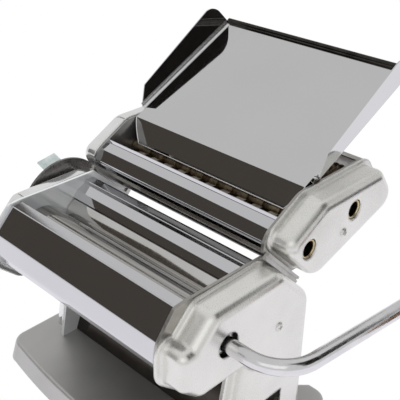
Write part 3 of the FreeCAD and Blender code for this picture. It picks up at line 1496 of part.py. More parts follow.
def crank():
    """Bent steel rod: plug in end with a cross pin, arm, and a spindle with a cap for the grip."""
    mouth = v.cover_face - v.socket_setback
    lean = math.radians(v.crank_lean)
    elbow = v.cover_face + v.crank_reach
    wrist = (elbow + v.crank_arm * math.sin(lean), v.crank_arm * math.cos(lean))
    bend = math.tan(math.radians(90 - v.crank_lean) / 2)
    grip_start = wrist[0] + v.crank_grip_bend * bend + v.grip_start_gap
    grip_end = grip_start + v.grip_length
    cap_start = grip_end + v.grip_gap
    path = [
        (mouth - v.crank_insert, 0, 0), (elbow, 0, v.crank_bend), (wrist[0], wrist[1], v.crank_grip_bend),
        (cap_start, wrist[1], 0),
    ]
    body = new_body("crank_rod")
    spine = sketch(body, "crank_path", "XY_Plane", rounded(path, closed=False))
    inner_end = mouth - v.crank_insert
    ring = sketch(body, "crank_section", "YZ_Plane", [circle(0, 0, v.crank_radius)], "%r" % inner_end)
    pipe = body.newObject("PartDesign::AdditivePipe", "crank_pipe")
    pipe.Profile = ring
    pipe.Spine = spine
    turn = FreeCAD.Rotation(V(1, 0, 0), v.crank_angle)
    place = FreeCAD.Placement(V(0, v.drive_y, v.drive_z), turn)
    body.Placement = place
    pin = document.addObject("Part::Cylinder", "crank_pin")
    pin.Radius = v.socket_slot / 2 - 0.1
    pin.setExpression("Height", "2 * sizes.drive_neck - 1")
    across = FreeCAD.Placement(V(mouth - v.socket_slot_depth + v.socket_slot / 2 + 0.5, 0, 0.5 - v.drive_neck),
                               FreeCAD.Rotation())
    pin.Placement = place * across
    cap = document.addObject("Part::Cylinder", "crank_cap")
    cap.setExpression("Radius", "sizes.crank_radius + sizes.crank_cap_reach")
    cap.setExpression("Height", "sizes.crank_cap_gauge")
    cap.Placement = place * FreeCAD.Placement(V(cap_start, wrist[1], 0), FreeCAD.Rotation(V(0, 1, 0), 90))
    whole = document.addObject("Part::MultiFuse", "crank")
    whole.Shapes = [body, pin, cap]
    keep("crank", whole)
    bore = v.crank_radius + v.grip_bore_play
    belly = v.grip_radius
    long = v.grip_length
    axis = place.multVec(V(0, wrist[1], 0))
    body = new_body("crank_grip")
    points = [
        (grip_start, bore, 0), (grip_end, bore, 0), (grip_end, belly * 0.62, 0),
        (grip_end - long * 0.03, belly * 0.86, long * 0.06), (grip_end - long * 0.21, belly, long * 0.45),
        (grip_start + long * 0.3, belly * 0.82, long * 0.45),
        (grip_start + long * 0.06, belly * 0.74, long * 0.09), (grip_start, belly * 0.62, 0),
    ]
    drawing = sketch(body, "grip_profile", "XY_Plane", rounded(points))
    turned = body.newObject("PartDesign::Revolution", "grip_turning")
    turned.Profile = drawing
    turned.ReferenceAxis = (drawing, ["H_Axis"])
    turned.Angle = 360.0
    body.Placement = FreeCAD.Placement(axis, FreeCAD.Rotation())
    keep("crank_grip", body)


for build in (base_plate, rubber_feet, front_cover, rear_cover, chute, tie_rods, cover_fixings, rails, drive_bushes,
              front_roller, rear_roller, roller_gears, adjuster, dial, lever, spring, cutter_frames, cutter_covers,
              cutter_sheets, cutter_rods, cutter_bushes, cutting_rollers, cutter_gears, combs, feed_tray, crank):
    build()
for hand in (1, -1):
    side_frame(hand)
    side_cover(hand)
scraper("front_scraper", (v.drive_y, v.drive_z), v.front_scraper_gap, v.front_scraper_angle, -v.scraper_lean)
scraper("rear_scraper", (v.rear_y, v.rear_z), v.rear_scraper_gap, v.rear_scraper_angle, v.scraper_lean)

document.recompute()
for item in document.Objects:
    if "Invalid" in item.State or "Error" in item.State:
        raise ValueError("%s failed" % item.Label)
for name, item in nodes:
    if item.Shape.isNull() or not item.Shape.isValid():
        raise ValueError("%s has no valid shape" % name)
os.makedirs("parts", exist_ok=True)
for name, item in nodes:
    item.Shape.exportStep("parts/%s.step" % name)
print(len(nodes), "nodes")
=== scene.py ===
import json
import math

import bmesh
import bpy
from mathutils import Matrix, Vector


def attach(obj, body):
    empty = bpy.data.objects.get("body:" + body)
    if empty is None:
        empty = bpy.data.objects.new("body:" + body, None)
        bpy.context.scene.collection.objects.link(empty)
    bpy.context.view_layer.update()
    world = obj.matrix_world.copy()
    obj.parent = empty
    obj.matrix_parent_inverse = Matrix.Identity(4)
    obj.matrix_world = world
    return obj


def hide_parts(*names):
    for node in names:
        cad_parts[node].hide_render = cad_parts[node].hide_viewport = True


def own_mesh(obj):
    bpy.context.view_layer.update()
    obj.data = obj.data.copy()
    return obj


bl_info = {
    "name": "Pasta machine with a docked cutting unit",
    "version": (1, 0, 0),
    "blender": (4, 5, 0),
    "location": "3D View > Sidebar > Pasta machine",
    "description": "Finishes the packed pasta machine and sets it on a studio table",
    "category": "Add Mesh",
}

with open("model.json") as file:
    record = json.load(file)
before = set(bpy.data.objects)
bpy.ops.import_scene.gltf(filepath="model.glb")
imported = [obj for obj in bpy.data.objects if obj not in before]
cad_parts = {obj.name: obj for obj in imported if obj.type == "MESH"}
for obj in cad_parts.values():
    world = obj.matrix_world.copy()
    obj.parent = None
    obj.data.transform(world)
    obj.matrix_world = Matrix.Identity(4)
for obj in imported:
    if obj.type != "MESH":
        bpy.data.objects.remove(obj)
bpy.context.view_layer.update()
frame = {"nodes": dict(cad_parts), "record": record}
NODES = frame["nodes"]
BODIES = frame["record"]["behaviour"]["bodies"]
BODY_OF = {node: body for body, members in BODIES.items() for node in members}
SLOT_OF = {part["node"]: part["material_slot"] for part in frame["record"]["subparts"]}
MM = 0.001


def srgb(code):
    """A hex colour as linear red, green, blue and alpha."""
    parts = [int(code[start:start + 2], 16) / 255 for start in (1, 3, 5)]
    linear = [part / 12.92 if part <= 0.04045 else ((part + 0.055) / 1.055) ** 2.4 for part in parts]
    return (*linear, 1.0)


def tint(colour):
    """A hex code or a picked colour as linear red, green, blue and alpha."""
    return srgb(colour) if isinstance(colour, str) else tuple(colour)


def add(tree, kind, settings, links):
    """Adds a node: settings fill its attributes and sockets, links join its sockets to others."""
    node = tree.nodes.new(kind)
    for name, value in settings.items():
        if hasattr(node, name):
            setattr(node, name, value)
        else:
            node.inputs[name].default_value = value
    for name, source in links.items():
        tree.links.new(source, node.inputs[name])
    return node


# Finished meshes: corners closer than this are joined, and how much a face's area counts in its normals

JOIN_DISTANCE = 0.002 * MM
NORMAL_WEIGHT = 80

# Sharp angles of the trim on the tray, and of the screws and socket rings

TRIM_SHARP = math.radians(30)
TURNED_SHARP = math.radians(40)


def applied(piece):
    """The piece's mesh with its modifiers applied."""
    bpy.context.view_layer.update()
    graph = bpy.context.evaluated_depsgraph_get()
    return bpy.data.meshes.new_from_object(piece.evaluated_get(graph))


def place(mesh, name, material, body):
    """Makes a finished mesh a piece that rides on a body."""
    piece = bpy.data.objects.new(name, mesh)
    bpy.context.scene.collection.objects.link(piece)
    piece.data.materials.clear()
    piece.data.materials.append(material)
    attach(piece, body)
    return piece


def smoothed(mesh, name, sharp_angle):
    """Joins loose triangles, shades them smooth up to the sharp angle and weighs normals by area."""
    net = bmesh.new()
    net.from_mesh(mesh)
    bmesh.ops.remove_doubles(net, verts=net.verts, dist=JOIN_DISTANCE)
    for face in net.faces:
        face.smooth = True
    for edge in net.edges:
        edge.smooth = edge.calc_face_angle(math.pi) < sharp_angle
    net.to_mesh(mesh)
    net.free()
    helper = bpy.data.objects.new(name + "_helper", mesh)
    bpy.context.scene.collection.objects.link(helper)
    weigh = helper.modifiers.new("even_normals", "WEIGHTED_NORMAL")
    weigh.keep_sharp = True
    weigh.weight = NORMAL_WEIGHT
    result = applied(helper)
    bpy.data.objects.remove(helper)
    return result


def outward(mesh):
    """Turns a closed mesh's faces outward."""
    net = bmesh.new()
    net.from_mesh(mesh)
    bmesh.ops.recalc_face_normals(net, faces=net.faces)
    net.to_mesh(mesh)
    net.free()
    return mesh


def bar(name, outline, start, along, side, up):
    """A closed bar: an outline of sideways and upward offsets, carried from its start by one vector."""
    start, along, side, up = (Vector(item) for item in (start, along, side, up))
    count = len(outline)
    corners = [start + side * across + up * height for across, height in outline]
    corners += [corner + along for corner in corners]
    faces = [(step, (step + 1) % count, count + (step + 1) % count, count + step) for step in range(count)]
    faces += [tuple(range(count)), tuple(range(count, 2 * count))]
    mesh = bpy.data.meshes.new(name)
    mesh.from_pydata(corners, [], faces)
    return outward(mesh)


def turned_ring(name, profile, centre, segments):
    """A ring round an axis along X: a closed profile of places along X and radii, turned about the centre."""
    corners = []
    for step in range(segments):
        angle = 2 * math.pi * step / segments
        turn_y, turn_z = math.cos(angle), math.sin(angle)
        corners += [(x, centre[0] + r * turn_y, centre[1] + r * turn_z) for x, r in profile]
    count = len(profile)
    faces = []
    for step in range(segments):
        here, there = step * count, (step + 1) % segments * count
        for spot in range(count):
            following = (spot + 1) % count
            faces.append((here + spot, here + following, there + following, there + spot))
    mesh = bpy.data.meshes.new(name)
    mesh.from_pydata(corners, [], faces)
    return outward(mesh)


def middle(corners):
    """The middle of the corners' extent along Y and Z."""
    y = 0.5 * (min(co.y for co in corners) + max(co.y for co in corners))
    z = 0.5 * (min(co.z for co in corners) + max(co.z for co in corners))
    return y, z


def finish(node, material, sharp_angle, reshape=None):
    """A smooth shaded piece in the place of a CAD node, with its finish and, if given, its finer shape."""
    mesh = NODES[node].data.copy()
    if reshape:
        reshape(mesh)
    mesh = smoothed(mesh, node, sharp_angle)
    piece = place(mesh, node + "_finished", material, BODY_OF[node])
    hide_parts(node)
    return piece


# Finishes: the part of the noise that a pattern uses, where the ramps end, and the rays that round an edge

GRAIN_LIMITS = (0.3, 0.7)
METAL_RAMP = (0.3, 0.75)
DULL_RAMP = (0.32, 0.68)
EDGE_SAMPLES = 12


def metal(name, colour, shade, roughness, spread, grain_mm, cloud_mm, relief_mm, stretch=(1, 1, 1), pure=1.0,
          round_mm=0.0, drawn=(1, 1, 1)):
    """Metal: its grain sets roughness and a fine relief, slow clouds carry the colour to its shade.

    Stretch draws the grain out and drawn draws the clouds out. Pure is the metallic share, and round_mm
    softens the shading of the pressed edges.
    """
    material = bpy.data.materials.new(name)
    material.use_nodes = True
    tree = material.node_tree
    shader = tree.nodes["Principled BSDF"]
    shader.inputs["Metallic"].default_value = pure
    where = add(tree, "ShaderNodeTexCoord", {}, {}).outputs["Object"]
    run = add(tree, "ShaderNodeMapping", {"Scale": stretch}, {"Vector": where}).outputs["Vector"]
    grain = add(tree, "ShaderNodeTexNoise", {"Scale": 1 / (grain_mm * MM), "Detail": 4.0}, {"Vector": run})
    limits = {
        "From Min": GRAIN_LIMITS[0], "From Max": GRAIN_LIMITS[1],
        "To Min": roughness - spread, "To Max": roughness + spread,
    }
    polish = add(tree, "ShaderNodeMapRange", limits, {"Value": grain.outputs["Fac"]})
    streak = add(tree, "ShaderNodeMapping", {"Scale": drawn}, {"Vector": where}).outputs["Vector"]
    cloud = add(tree, "ShaderNodeTexNoise", {"Scale": 1 / (cloud_mm * MM), "Detail": 2.0}, {"Vector": streak})
    tone = add(tree, "ShaderNodeValToRGB", {}, {"Fac": cloud.outputs["Fac"]})
    for end, position, code in zip(tone.color_ramp.elements, METAL_RAMP, (colour, shade)):
        end.position = position
        end.color = tint(code)
    relief = add(tree, "ShaderNodeBump", {"Distance": relief_mm * MM}, {"Height": grain.outputs["Fac"]})
    if round_mm:
        soft = add(tree, "ShaderNodeBevel", {"samples": EDGE_SAMPLES, "Radius": round_mm * MM}, {})
        tree.links.new(soft.outputs["Normal"], relief.inputs["Normal"])
    tree.links.new(tone.outputs["Color"], shader.inputs["Base Color"])
    tree.links.new(polish.outputs["Result"], shader.inputs["Roughness"])
    tree.links.new(relief.outputs["Normal"], shader.inputs["Normal"])
    return material


def satin_chrome(colour):
    """Satin chromed pressing: a soft sheen over a fine blasted grain.

    The real grain is about 0.1 mm; it is drawn coarser so that it shows.
    """
    return metal(
        "satin chromed pressing", colour, "#EBEAE5", roughness=0.29, spread=0.03, grain_mm=0.6,
        cloud_mm=30, relief_mm=0.0004, pure=0.85, round_mm=2.6,
    )


def polished_chrome():
    """Polished chromed pressing of the side away from the crank: bright, with sharp reflections."""
    return metal(
        "polished chromed pressing", "#FCFCFB", "#F0F0EE", roughness=0.1, spread=0.03, grain_mm=3.0,
        cloud_mm=26, relief_mm=0.001, pure=0.8, round_mm=2.5,
    )


def inner_chrome():
    """Smooth chromed plate beside the rollers, milky bright from the white all round it."""
    return metal(
        "smooth chromed plate", "#FFFFFF", "#F2F4F2", roughness=0.14, spread=0.05, grain_mm=2.0,
        cloud_mm=14, relief_mm=0.002, pure=0.12,
    )


def shade_painted_chrome():
    """Chromed plate at the cutting unit's far end, its colour darkened as painted shade for the tray's shadow
    on it.
    """
    return metal(
        "shaded chromed plate", "#A9A8A6", "#8B8A88", roughness=0.22, spread=0.06, grain_mm=2.0,
        cloud_mm=14, relief_mm=0.002, pure=0.7,
    )


def shade_painted_chute_steel():
    """Steel of the chute below the rollers, its colour painted dark to stand in for the shade under them."""
    return metal(
        "shade darkened chute steel", "#4B4743", "#3D3936", roughness=0.16, spread=0.05, grain_mm=2.0,
        stretch=(0.3, 1, 1), cloud_mm=30, relief_mm=0.001,
    )


def bright_chrome(colour):
    """Mirror polished sheet: sharp reflections with faint wiping haze."""
    return metal(
        "mirror polished sheet", colour, "#D6D6D9", roughness=0.05, spread=0.03, grain_mm=6.0,
        stretch=(0.3, 1, 1), cloud_mm=60, relief_mm=0.0005,
    )


def base_chrome():
    """Satin chromed base plate: a darker, softer sheen than the covers."""
    return metal(
        "satin chromed base", "#D3D2D0", "#C4C3C1", roughness=0.45, spread=0.06, grain_mm=0.6, cloud_mm=45,
        relief_mm=0.006,
    )


def tray_steel():
    """Bright rolled sheet of the tray: blurred mirror with rolling lines along its length."""
    return metal(
        "bright rolled sheet", "#DADADA", "#D7D7D7", roughness=0.05, spread=0.02, grain_mm=6.0,
        stretch=(1, 0.3, 0.3), cloud_mm=70, relief_mm=0.0003,
    )


def roller_chrome():
    """Ground and chromed roller: fine grinding lines round it, drawn coarse enough to show."""
    return metal(
        "ground roller steel", "#D9D8D6", "#CBC9C6", roughness=0.09, spread=0.04, grain_mm=0.5,
        stretch=(1, 0.05, 0.05), cloud_mm=25, relief_mm=0.001,
    )


def reflection_streaked_roller_chrome():
    """Chromed roller with long dark streaks painted along it: painted reflections of the dark bands it
    mirrors.
    """
    return metal(
        "streaked roller steel", "#D2D0CD", "#57544F", roughness=0.13, spread=0.05, grain_mm=0.5,
        stretch=(1, 0.05, 0.05), cloud_mm=3.2, relief_mm=0.001, drawn=(0.02, 1, 1),
    )


def cutter_steel():
    """Milled steel of the cutting rollers, darkened by use."""
    return metal(
        "milled cutter steel", "#9C8D76", "#4E463B", roughness=0.32, spread=0.08, grain_mm=0.4, cloud_mm=5,
        relief_mm=0.002,
    )


def plated_steel():
    """Zinc plated plates: dull silver with faint spangle."""
    return metal(
        "zinc plated plate", "#B9B7B2", "#A5A29D", roughness=0.36, spread=0.08, grain_mm=1.5, cloud_mm=12,
        relief_mm=0.003,
    )


def turned_steel():
    """Turned bars, screws and rivets: bright with fine turning lines."""
    return metal(
        "turned bright steel", "#BDBBB8", "#A8A5A1", roughness=0.26, spread=0.06, grain_mm=0.3, cloud_mm=10,
        relief_mm=0.001,
    )


def passivated_zinc():
    """Blue passivated zinc of the lever: bright cold grey with cloudy green patches."""
    return metal(
        "blue passivated zinc", "#EEF6F4", "#CBD7D4", roughness=0.2, spread=0.05, grain_mm=1.4, cloud_mm=9,
        relief_mm=0.0005, pure=0.6,
    )


def dial_steel():
    """Drawn steel of the dial and its bushes: smooth and dark grey."""
    return metal(
        "dark drawn steel", "#8C8987", "#74716F", roughness=0.3, spread=0.06, grain_mm=1.4, cloud_mm=22,
        relief_mm=0.001,
    )


def bearing_bronze():
    """Sintered bearing bronze: warm, dull and slightly stained."""
    return metal(
        "bearing bronze", "#A98B5B", "#7C6440", roughness=0.38, spread=0.08, grain_mm=0.6, cloud_mm=5,
        relief_mm=0.002,
    )


def screw_steel():
    """Bright plated screws in the covers."""
    return metal(
        "bright plated screw", "#F0EFEC", "#DDDBD7", roughness=0.2, spread=0.05, grain_mm=0.4, cloud_mm=8,
        relief_mm=0.0005, pure=0.8,
    )


def comb_steel():
    """Stamped bright steel of the combs."""
    return metal(
        "stamped comb steel", "#CFCDCA", "#BAB7B2", roughness=0.2, spread=0.05, grain_mm=0.6, cloud_mm=14,
        relief_mm=0.002,
    )


def shade_painted_curl_steel():
    """Steel of the tray's curled edge, with drawing lines along it; its dark colour is painted shade."""
    return metal(
        "curled tray edge", "#46433F", "#302E2B", roughness=0.16, spread=0.05, grain_mm=0.5,
        stretch=(0.03, 1, 1), cloud_mm=9, relief_mm=0.001,
    )


def highlight_painted_fold_steel():
    """Steel in the folds and hems of the tray: the bends are real, and their colour, brighter than the
    sheet's, is a painted highlight along them.
    """
    return metal(
        "fold steel painted bright", "#F2F2F2", "#E9E9E9", roughness=0.28, spread=0.05, grain_mm=0.5, cloud_mm=12,
        relief_mm=0.001,
    )


def socket_brass():
    """Yellow passivated ring of the crank sockets."""
    return metal(
        "yellow passivated ring", "#D9C9A6", "#BBA67E", roughness=0.22, spread=0.06, grain_mm=0.5,
        cloud_mm=3, relief_mm=0.001,
    )


def crank_chrome():
    """Chromed crank rod: bright, with a slight orange peel from the drawn bar."""
    return metal(
        "chromed crank rod", "#EAE9EA", "#DEDDDF", roughness=0.17, spread=0.05, grain_mm=3.0, cloud_mm=20,
        relief_mm=0.002,
    )


def dull(name, colour, shade, roughness, grain_mm, relief_mm, stretch=(1, 1, 1)):
    """Wood or rubber: a grain, drawn out by stretch, that carries both colour and relief."""
    material = bpy.data.materials.new(name)
    material.use_nodes = True
    tree = material.node_tree
    shader = tree.nodes["Principled BSDF"]
    shader.inputs["Roughness"].default_value = roughness
    where = add(tree, "ShaderNodeTexCoord", {}, {}).outputs["Object"]
    run = add(tree, "ShaderNodeMapping", {"Scale": stretch}, {"Vector": where}).outputs["Vector"]
    settings = {"Scale": 1 / (grain_mm * MM), "Detail": 5.0, "Distortion": 0.6}
    grain = add(tree, "ShaderNodeTexNoise", settings, {"Vector": run}).outputs["Fac"]
    tone = add(tree, "ShaderNodeValToRGB", {}, {"Fac": grain})
    for end, position, code in zip(tone.color_ramp.elements, DULL_RAMP, (colour, shade)):
        end.position = position
        end.color = tint(code)
    relief = add(tree, "ShaderNodeBump", {"Distance": relief_mm * MM}, {"Height": grain})
    tree.links.new(tone.outputs["Color"], shader.inputs["Base Color"])
    tree.links.new(relief.outputs["Normal"], shader.inputs["Normal"])
    return material


def foot_rubber():
    """Moulded black rubber: matt, with a fine mould grain."""
    return dull(
        "moulded foot rubber", "#1B1B1C", "#262627", roughness=0.75, grain_mm=0.8, relief_mm=0.02,
    )


def grip_beech(colour):
    """Varnished beech: long pale streaks along the grip."""
    return dull(
        "varnished beech", colour, "#8C5A32", roughness=0.32, grain_mm=2.2, stretch=(0.12, 1, 1),
        relief_mm=0.03,
    )


# Pieces added to the CAD nodes


# Screw head: its height as a share of its radius, its facets, and the block in mm that cuts its underside off

DOME_SHARE = 0.42
DOME_SEGMENTS = 40
CUT_BLOCK = (20, 20, 10)

# The recess's half length as a share of the radius, its height and the height of its middle in millimetres

RECESS_REACH = 1.15
RECESS_DEPTH = 1.6
RECESS_HEIGHT = 1.4


def recessed_screw(name, material):
    """Tree that sets a domed screw head with a cross recess on each point, its axis along X."""
    tree = bpy.data.node_groups.new(name, "GeometryNodeTree")
    tree.interface.new_socket("Geometry", in_out="INPUT", socket_type="NodeSocketGeometry")
    tree.interface.new_socket("Head radius", in_out="INPUT", socket_type="NodeSocketFloat")
    tree.interface.new_socket("Recess width", in_out="INPUT", socket_type="NodeSocketFloat")
    tree.interface.new_socket("Geometry", in_out="OUTPUT", socket_type="NodeSocketGeometry")
    source = add(tree, "NodeGroupInput", {}, {})
    radius = source.outputs["Head radius"]
    width = source.outputs["Recess width"]
    squeeze = add(tree, "ShaderNodeCombineXYZ", {"X": 1.0, "Y": 1.0, "Z": DOME_SHARE}, {})
    rings = {"Segments": DOME_SEGMENTS, "Rings": DOME_SEGMENTS // 2}
    ball = add(tree, "GeometryNodeMeshUVSphere", rings, {"Radius": radius})
    dome = add(tree, "GeometryNodeTransform", {}, {
        "Geometry": ball.outputs["Mesh"],
        "Scale": squeeze.outputs["Vector"],
    })
    block = add(tree, "GeometryNodeMeshCube", {"Size": [side * MM for side in CUT_BLOCK]}, {})
    sunk = {"Translation": (0, 0, -0.5 * CUT_BLOCK[2] * MM)}
    under = add(tree, "GeometryNodeTransform", sunk, {"Geometry": block.outputs["Mesh"]})
    reach = add(tree, "ShaderNodeMath", {"operation": "MULTIPLY"}, {})
    reach.inputs[1].default_value = RECESS_REACH
    tree.links.new(radius, reach.inputs[0])
    blades = []
    for flip in (0, 1):
        size = add(tree, "ShaderNodeCombineXYZ", {"Z": RECESS_DEPTH * MM}, {})
        tree.links.new(reach.outputs[0], size.inputs[flip])
        tree.links.new(width, size.inputs[1 - flip])
        blade = add(tree, "GeometryNodeMeshCube", {}, {"Size": size.outputs["Vector"]})
        raised = {"Translation": (0, 0, RECESS_HEIGHT * MM)}
        lift = add(tree, "GeometryNodeTransform", raised, {"Geometry": blade.outputs["Mesh"]})
        blades.append(lift.outputs["Geometry"])
    carve = add(tree, "GeometryNodeMeshBoolean", {"operation": "DIFFERENCE", "solver": "EXACT"},
                {"Mesh 1": dome.outputs["Geometry"]})
    for tool in (under.outputs["Geometry"], *blades):
        tree.links.new(tool, carve.inputs["Mesh 2"])
    stored = {"data_type": "FLOAT_VECTOR", "Name": "outward"}
    facing = add(tree, "GeometryNodeInputNamedAttribute", stored, {}).outputs["Attribute"]
    turn = add(tree, "FunctionNodeAlignRotationToVector", {"axis": "Z"}, {"Vector": facing})
    heads = add(tree, "GeometryNodeInstanceOnPoints", {}, {
        "Points": source.outputs["Geometry"],
        "Instance": carve.outputs["Mesh"],
        "Rotation": turn.outputs["Rotation"],
    })
    real = add(tree, "GeometryNodeRealizeInstances", {}, {"Geometry": heads.outputs["Instances"]})
    plain = real.outputs["Geometry"]
    painted = add(tree, "GeometryNodeSetMaterial", {"Material": material}, {"Geometry": plain})
    result = add(tree, "NodeGroupOutput", {}, {"Geometry": painted.outputs["Geometry"]})
    result.is_active_output = True
    return tree


def grown(places, tree, inputs, name):
    """Runs a tree on loose points with their outward directions and returns the plain mesh it makes."""
    seeds = bpy.data.meshes.new(name + "_seeds")
    seeds.from_pydata([point for point, facing in places], [], [])
    outward_of = seeds.attributes.new("outward", "FLOAT_VECTOR", "POINT")
    for index, (point, facing) in enumerate(places):
        outward_of.data[index].vector = facing
    helper = bpy.data.objects.new(name + "_helper", seeds)
    bpy.context.scene.collection.objects.link(helper)
    grow = helper.modifiers.new(name, "NODES")
    grow.node_group = tree
    for item in tree.interface.items_tree:
        if item.name in inputs:
            grow[item.identifier] = inputs[item.name]
    mesh = applied(helper)
    bpy.data.objects.remove(helper)
    return mesh


# Section of the ring in a crank socket's mouth: places along the axis and radii, in millimetres

SOCKET_RING = ((-0.1, 4.9), (0.3, 4.9), (0.7, 5.15), (0.9, 5.5), (0.85, 5.95), (0.5, 6.2), (-0.1, 6.25))
SOCKET_SEGMENTS = 64

# How near its tip, in millimetres, a cutter's corners count as the socket's mouth

MOUTH_DEPTH = 0.01

# The bend at the front cover's upper edge: its corner in Y and Z, and its reach to each side of the corner

COVER_BEND_CORNER = (-56.9, 140.06)
COVER_BEND_REACH = ((-2.35, 0.75), (-1.5, 0.6))

# The height in millimetres that this bend stays above, and how much of its size it keeps

COVER_BEND_FOOT = 138.6
COVER_BEND_SHARE = 0.3

# The tray's folds at its wings and its curled edge, in millimetres: half their spread, places and length

TRAY_FOLD_HALF = 78.2
TRAY_FOLD_FOOT = (60.8, 174.7)
TRAY_FOLD_LENGTH = 98.4
TRAY_CURL_CENTRE = (151.6, 219.0)

# How far a wing leans outwards for each millimetre of height at its fold

WING_FLARE = 0.14

# Round sections of the trim: steps in a half turn, and the steps at which the fold and the curl begin and end

HALF_TURN_STEPS = 16
FOLD_ARC = (24, 16)
CURL_ARC = (-6, 24)

# The CAD lip, in millimetres: its bend, the rear edges of the lip and of its tongue, and half its width

LIP_BEND_CENTRE = (57.5, 158.6)
LIP_BEND_RADIUS = 13.1
LIP_BEND_START = math.radians(115.8)
LIP_BEND_MARGIN = math.radians(0.1)
LIP_REAR = 53.5
TONGUE_REAR = 60.9
LIP_SOLID_HALF = 67.0
LIP_MARGIN = 0.1

# The flat lip that takes its place, in millimetres: its top and foot, half its width, and how it narrows

LIP_TOP = (51.8, 170.4)
LIP_FOOT = (44.7, 154.45)
LIP_HALF = 75.2
LIP_TAPER = 9.5
LIP_TAPER_POWER = 1.4

# The hem round the lip: its depth behind the face in millimetres, and its steps along each end and round it

HEM_DEPTH = 0.4
HEM_STEPS = 12
HEM_ROUNDNESS = 5

# The wings' round upper corner: where its arc starts and its radius in millimetres, and its slopes in degrees

CREST_START = (128.8, 230.05)
CREST_RADIUS = 11.7
CREST_SLOPES = (27.0, -47.7)

# The two CAD corners that it takes in, along Y and above a height, and the shares of the arc that they get

CREST_FOOT = 229.8
LOW_CORNER = (128.8, 131.9)
HIGH_CORNER = (136.94, 139.64)
LOW_SHARE = 0.4
HIGH_SHARE = 0.5

# How far the wing leans inwards for each millimetre along Y and along Z

WING_LEAN = (0.0607, -0.1269)


def lip_line(share, depth=0.0):
    """A point on the flat lip: a share of the way down it, and a depth in mm behind its face."""
    top, foot = Vector(LIP_TOP), Vector(LIP_FOOT)
    down = (foot - top).normalized()
    behind = Vector((-down.y, down.x))
    return top.lerp(foot, share) + behind * depth


def lip_half(share):
    """Half the lip's width a share of the way down: it narrows towards its foot."""
    return LIP_HALF - LIP_TAPER * share ** LIP_TAPER_POWER


def flatten_lip(mesh):
    """Straightens the tray's curved lip into a flat one with rounded corners, as wide as the tray."""
    sweep = math.pi - LIP_BEND_START
    length = LIP_BEND_RADIUS * sweep + LIP_BEND_CENTRE[1] - LIP_FOOT[1]
    for corner in mesh.vertices:
        x, y, z = (value / MM for value in corner.co)
        across, height = y - LIP_BEND_CENTRE[0], z - LIP_BEND_CENTRE[1]
        turned = math.atan2(max(height, 0.0), across)
        if abs(x) > LIP_SOLID_HALF + LIP_MARGIN or y > TONGUE_REAR:
            continue
        if turned < LIP_BEND_START - LIP_BEND_MARGIN or y > LIP_REAR:
            half = LIP_HALF if abs(x) > LIP_SOLID_HALF - LIP_MARGIN else abs(x)
            corner.co.x = math.copysign(half, x) * MM
            continue
        if height > 0:
            way = LIP_BEND_RADIUS * (turned - LIP_BEND_START)
            depth = LIP_BEND_RADIUS - math.hypot(across, height)
        else:
            way = LIP_BEND_RADIUS * sweep - height
            depth = y - (LIP_BEND_CENTRE[0] - LIP_BEND_RADIUS)
        share = min(max(way / length, 0.0), 1.0)
        y, z = lip_line(share, depth)
        x = math.copysign(lip_half(share), x)
        corner.co = (x * MM, y * MM, z * MM)


def crest_share(y):
    """How far along the wing's round corner a place of the two CAD corners goes."""
    if y < 0.5 * (LOW_CORNER[1] + HIGH_CORNER[0]):
        share = LOW_SHARE * (y - LOW_CORNER[0]) / (LOW_CORNER[1] - LOW_CORNER[0])
    else:
        share = 1 - HIGH_SHARE * (HIGH_CORNER[1] - y) / (HIGH_CORNER[1] - HIGH_CORNER[0])
    return min(max(share, 0.0), 1.0)


def round_wings(mesh):
    """Turns the two blunt corners at the top of each wing into one round one."""
    first, last = (math.radians(value) for value in CREST_SLOPES)
    centre = Vector(CREST_START) + CREST_RADIUS * Vector((math.sin(first), -math.cos(first)))
    for corner in mesh.vertices:
        x, y, z = (value / MM for value in corner.co)
        if z < CREST_FOOT:
            continue
        slope = first + (last - first) * crest_share(y)
        new_y, new_z = centre + CREST_RADIUS * Vector((-math.sin(slope), math.cos(slope)))
        lean = WING_LEAN[0] * (new_y - y) + WING_LEAN[1] * (new_z - z)
        x -= math.copysign(1.0, x) * lean
        corner.co = (x * MM, new_y * MM, new_z * MM)


def reshape_tray(mesh):
    """The tray's flat lip and its wings' round corners."""
    flatten_lip(mesh)
    round_wings(mesh)


def lip_hem(radius):
    """A round hem along the lip's lower edge and up its two ends."""
    shares = [step / HEM_STEPS for step in range(HEM_STEPS + 1)]
    route = [(-lip_half(share), *lip_line(share, HEM_DEPTH)) for share in shares]
    route += [(-x, y, z) for x, y, z in reversed(route)]
    curve = bpy.data.curves.new("tray_hem", "CURVE")
    curve.dimensions = "3D"
    curve.bevel_depth = radius
    curve.bevel_resolution = HEM_ROUNDNESS
    curve.use_fill_caps = True
    line = curve.splines.new("POLY")
    line.points.add(len(route) - 1)
    for point, where in zip(line.points, route):
        point.co = (*(Vector(where) * MM), 1.0)
    helper = bpy.data.objects.new("tray_hem_helper", curve)
    bpy.context.scene.collection.objects.link(helper)
    mesh = applied(helper)
    bpy.data.objects.remove(helper)
    return outward(mesh)


def tighten_bend(mesh):
    """Closes the wide bend at the front cover's upper edge to a crisp one."""
    corner = Vector(COVER_BEND_CORNER)
    (first_y, last_y), (low_z, high_z) = COVER_BEND_REACH
    for point in mesh.vertices:
        spot = Vector((point.co.y, point.co.z)) / MM
        offset = spot - corner
        near = first_y < offset.x < last_y and low_z < offset.y < high_z
        if near and spot.y > COVER_BEND_FOOT:
            point.co.y, point.co.z = (corner + offset * COVER_BEND_SHARE) * MM


def round_steps(first, last):
    """The angles from one step of a half turn to another, in either direction."""
    way = 1 if last > first else -1
    return [step * math.pi / HALF_TURN_STEPS for step in range(first, last + way, way)]


def fold_outline(radius):
    """Section of the bend between plate and wing: the corner filled by a hollow quarter round."""
    outline = [(-WING_FLARE * radius, radius), (0.0, 0.0)]
    for turn in round_steps(*FOLD_ARC):
        outline.append((radius + radius * math.cos(turn), radius + radius * math.sin(turn)))
    return outline


def curl_outline(radius):
    """Section of the curled edge: three quarters and more of a circle."""
    return [(radius * math.cos(turn), radius * math.sin(turn)) for turn in round_steps(*CURL_ARC)]


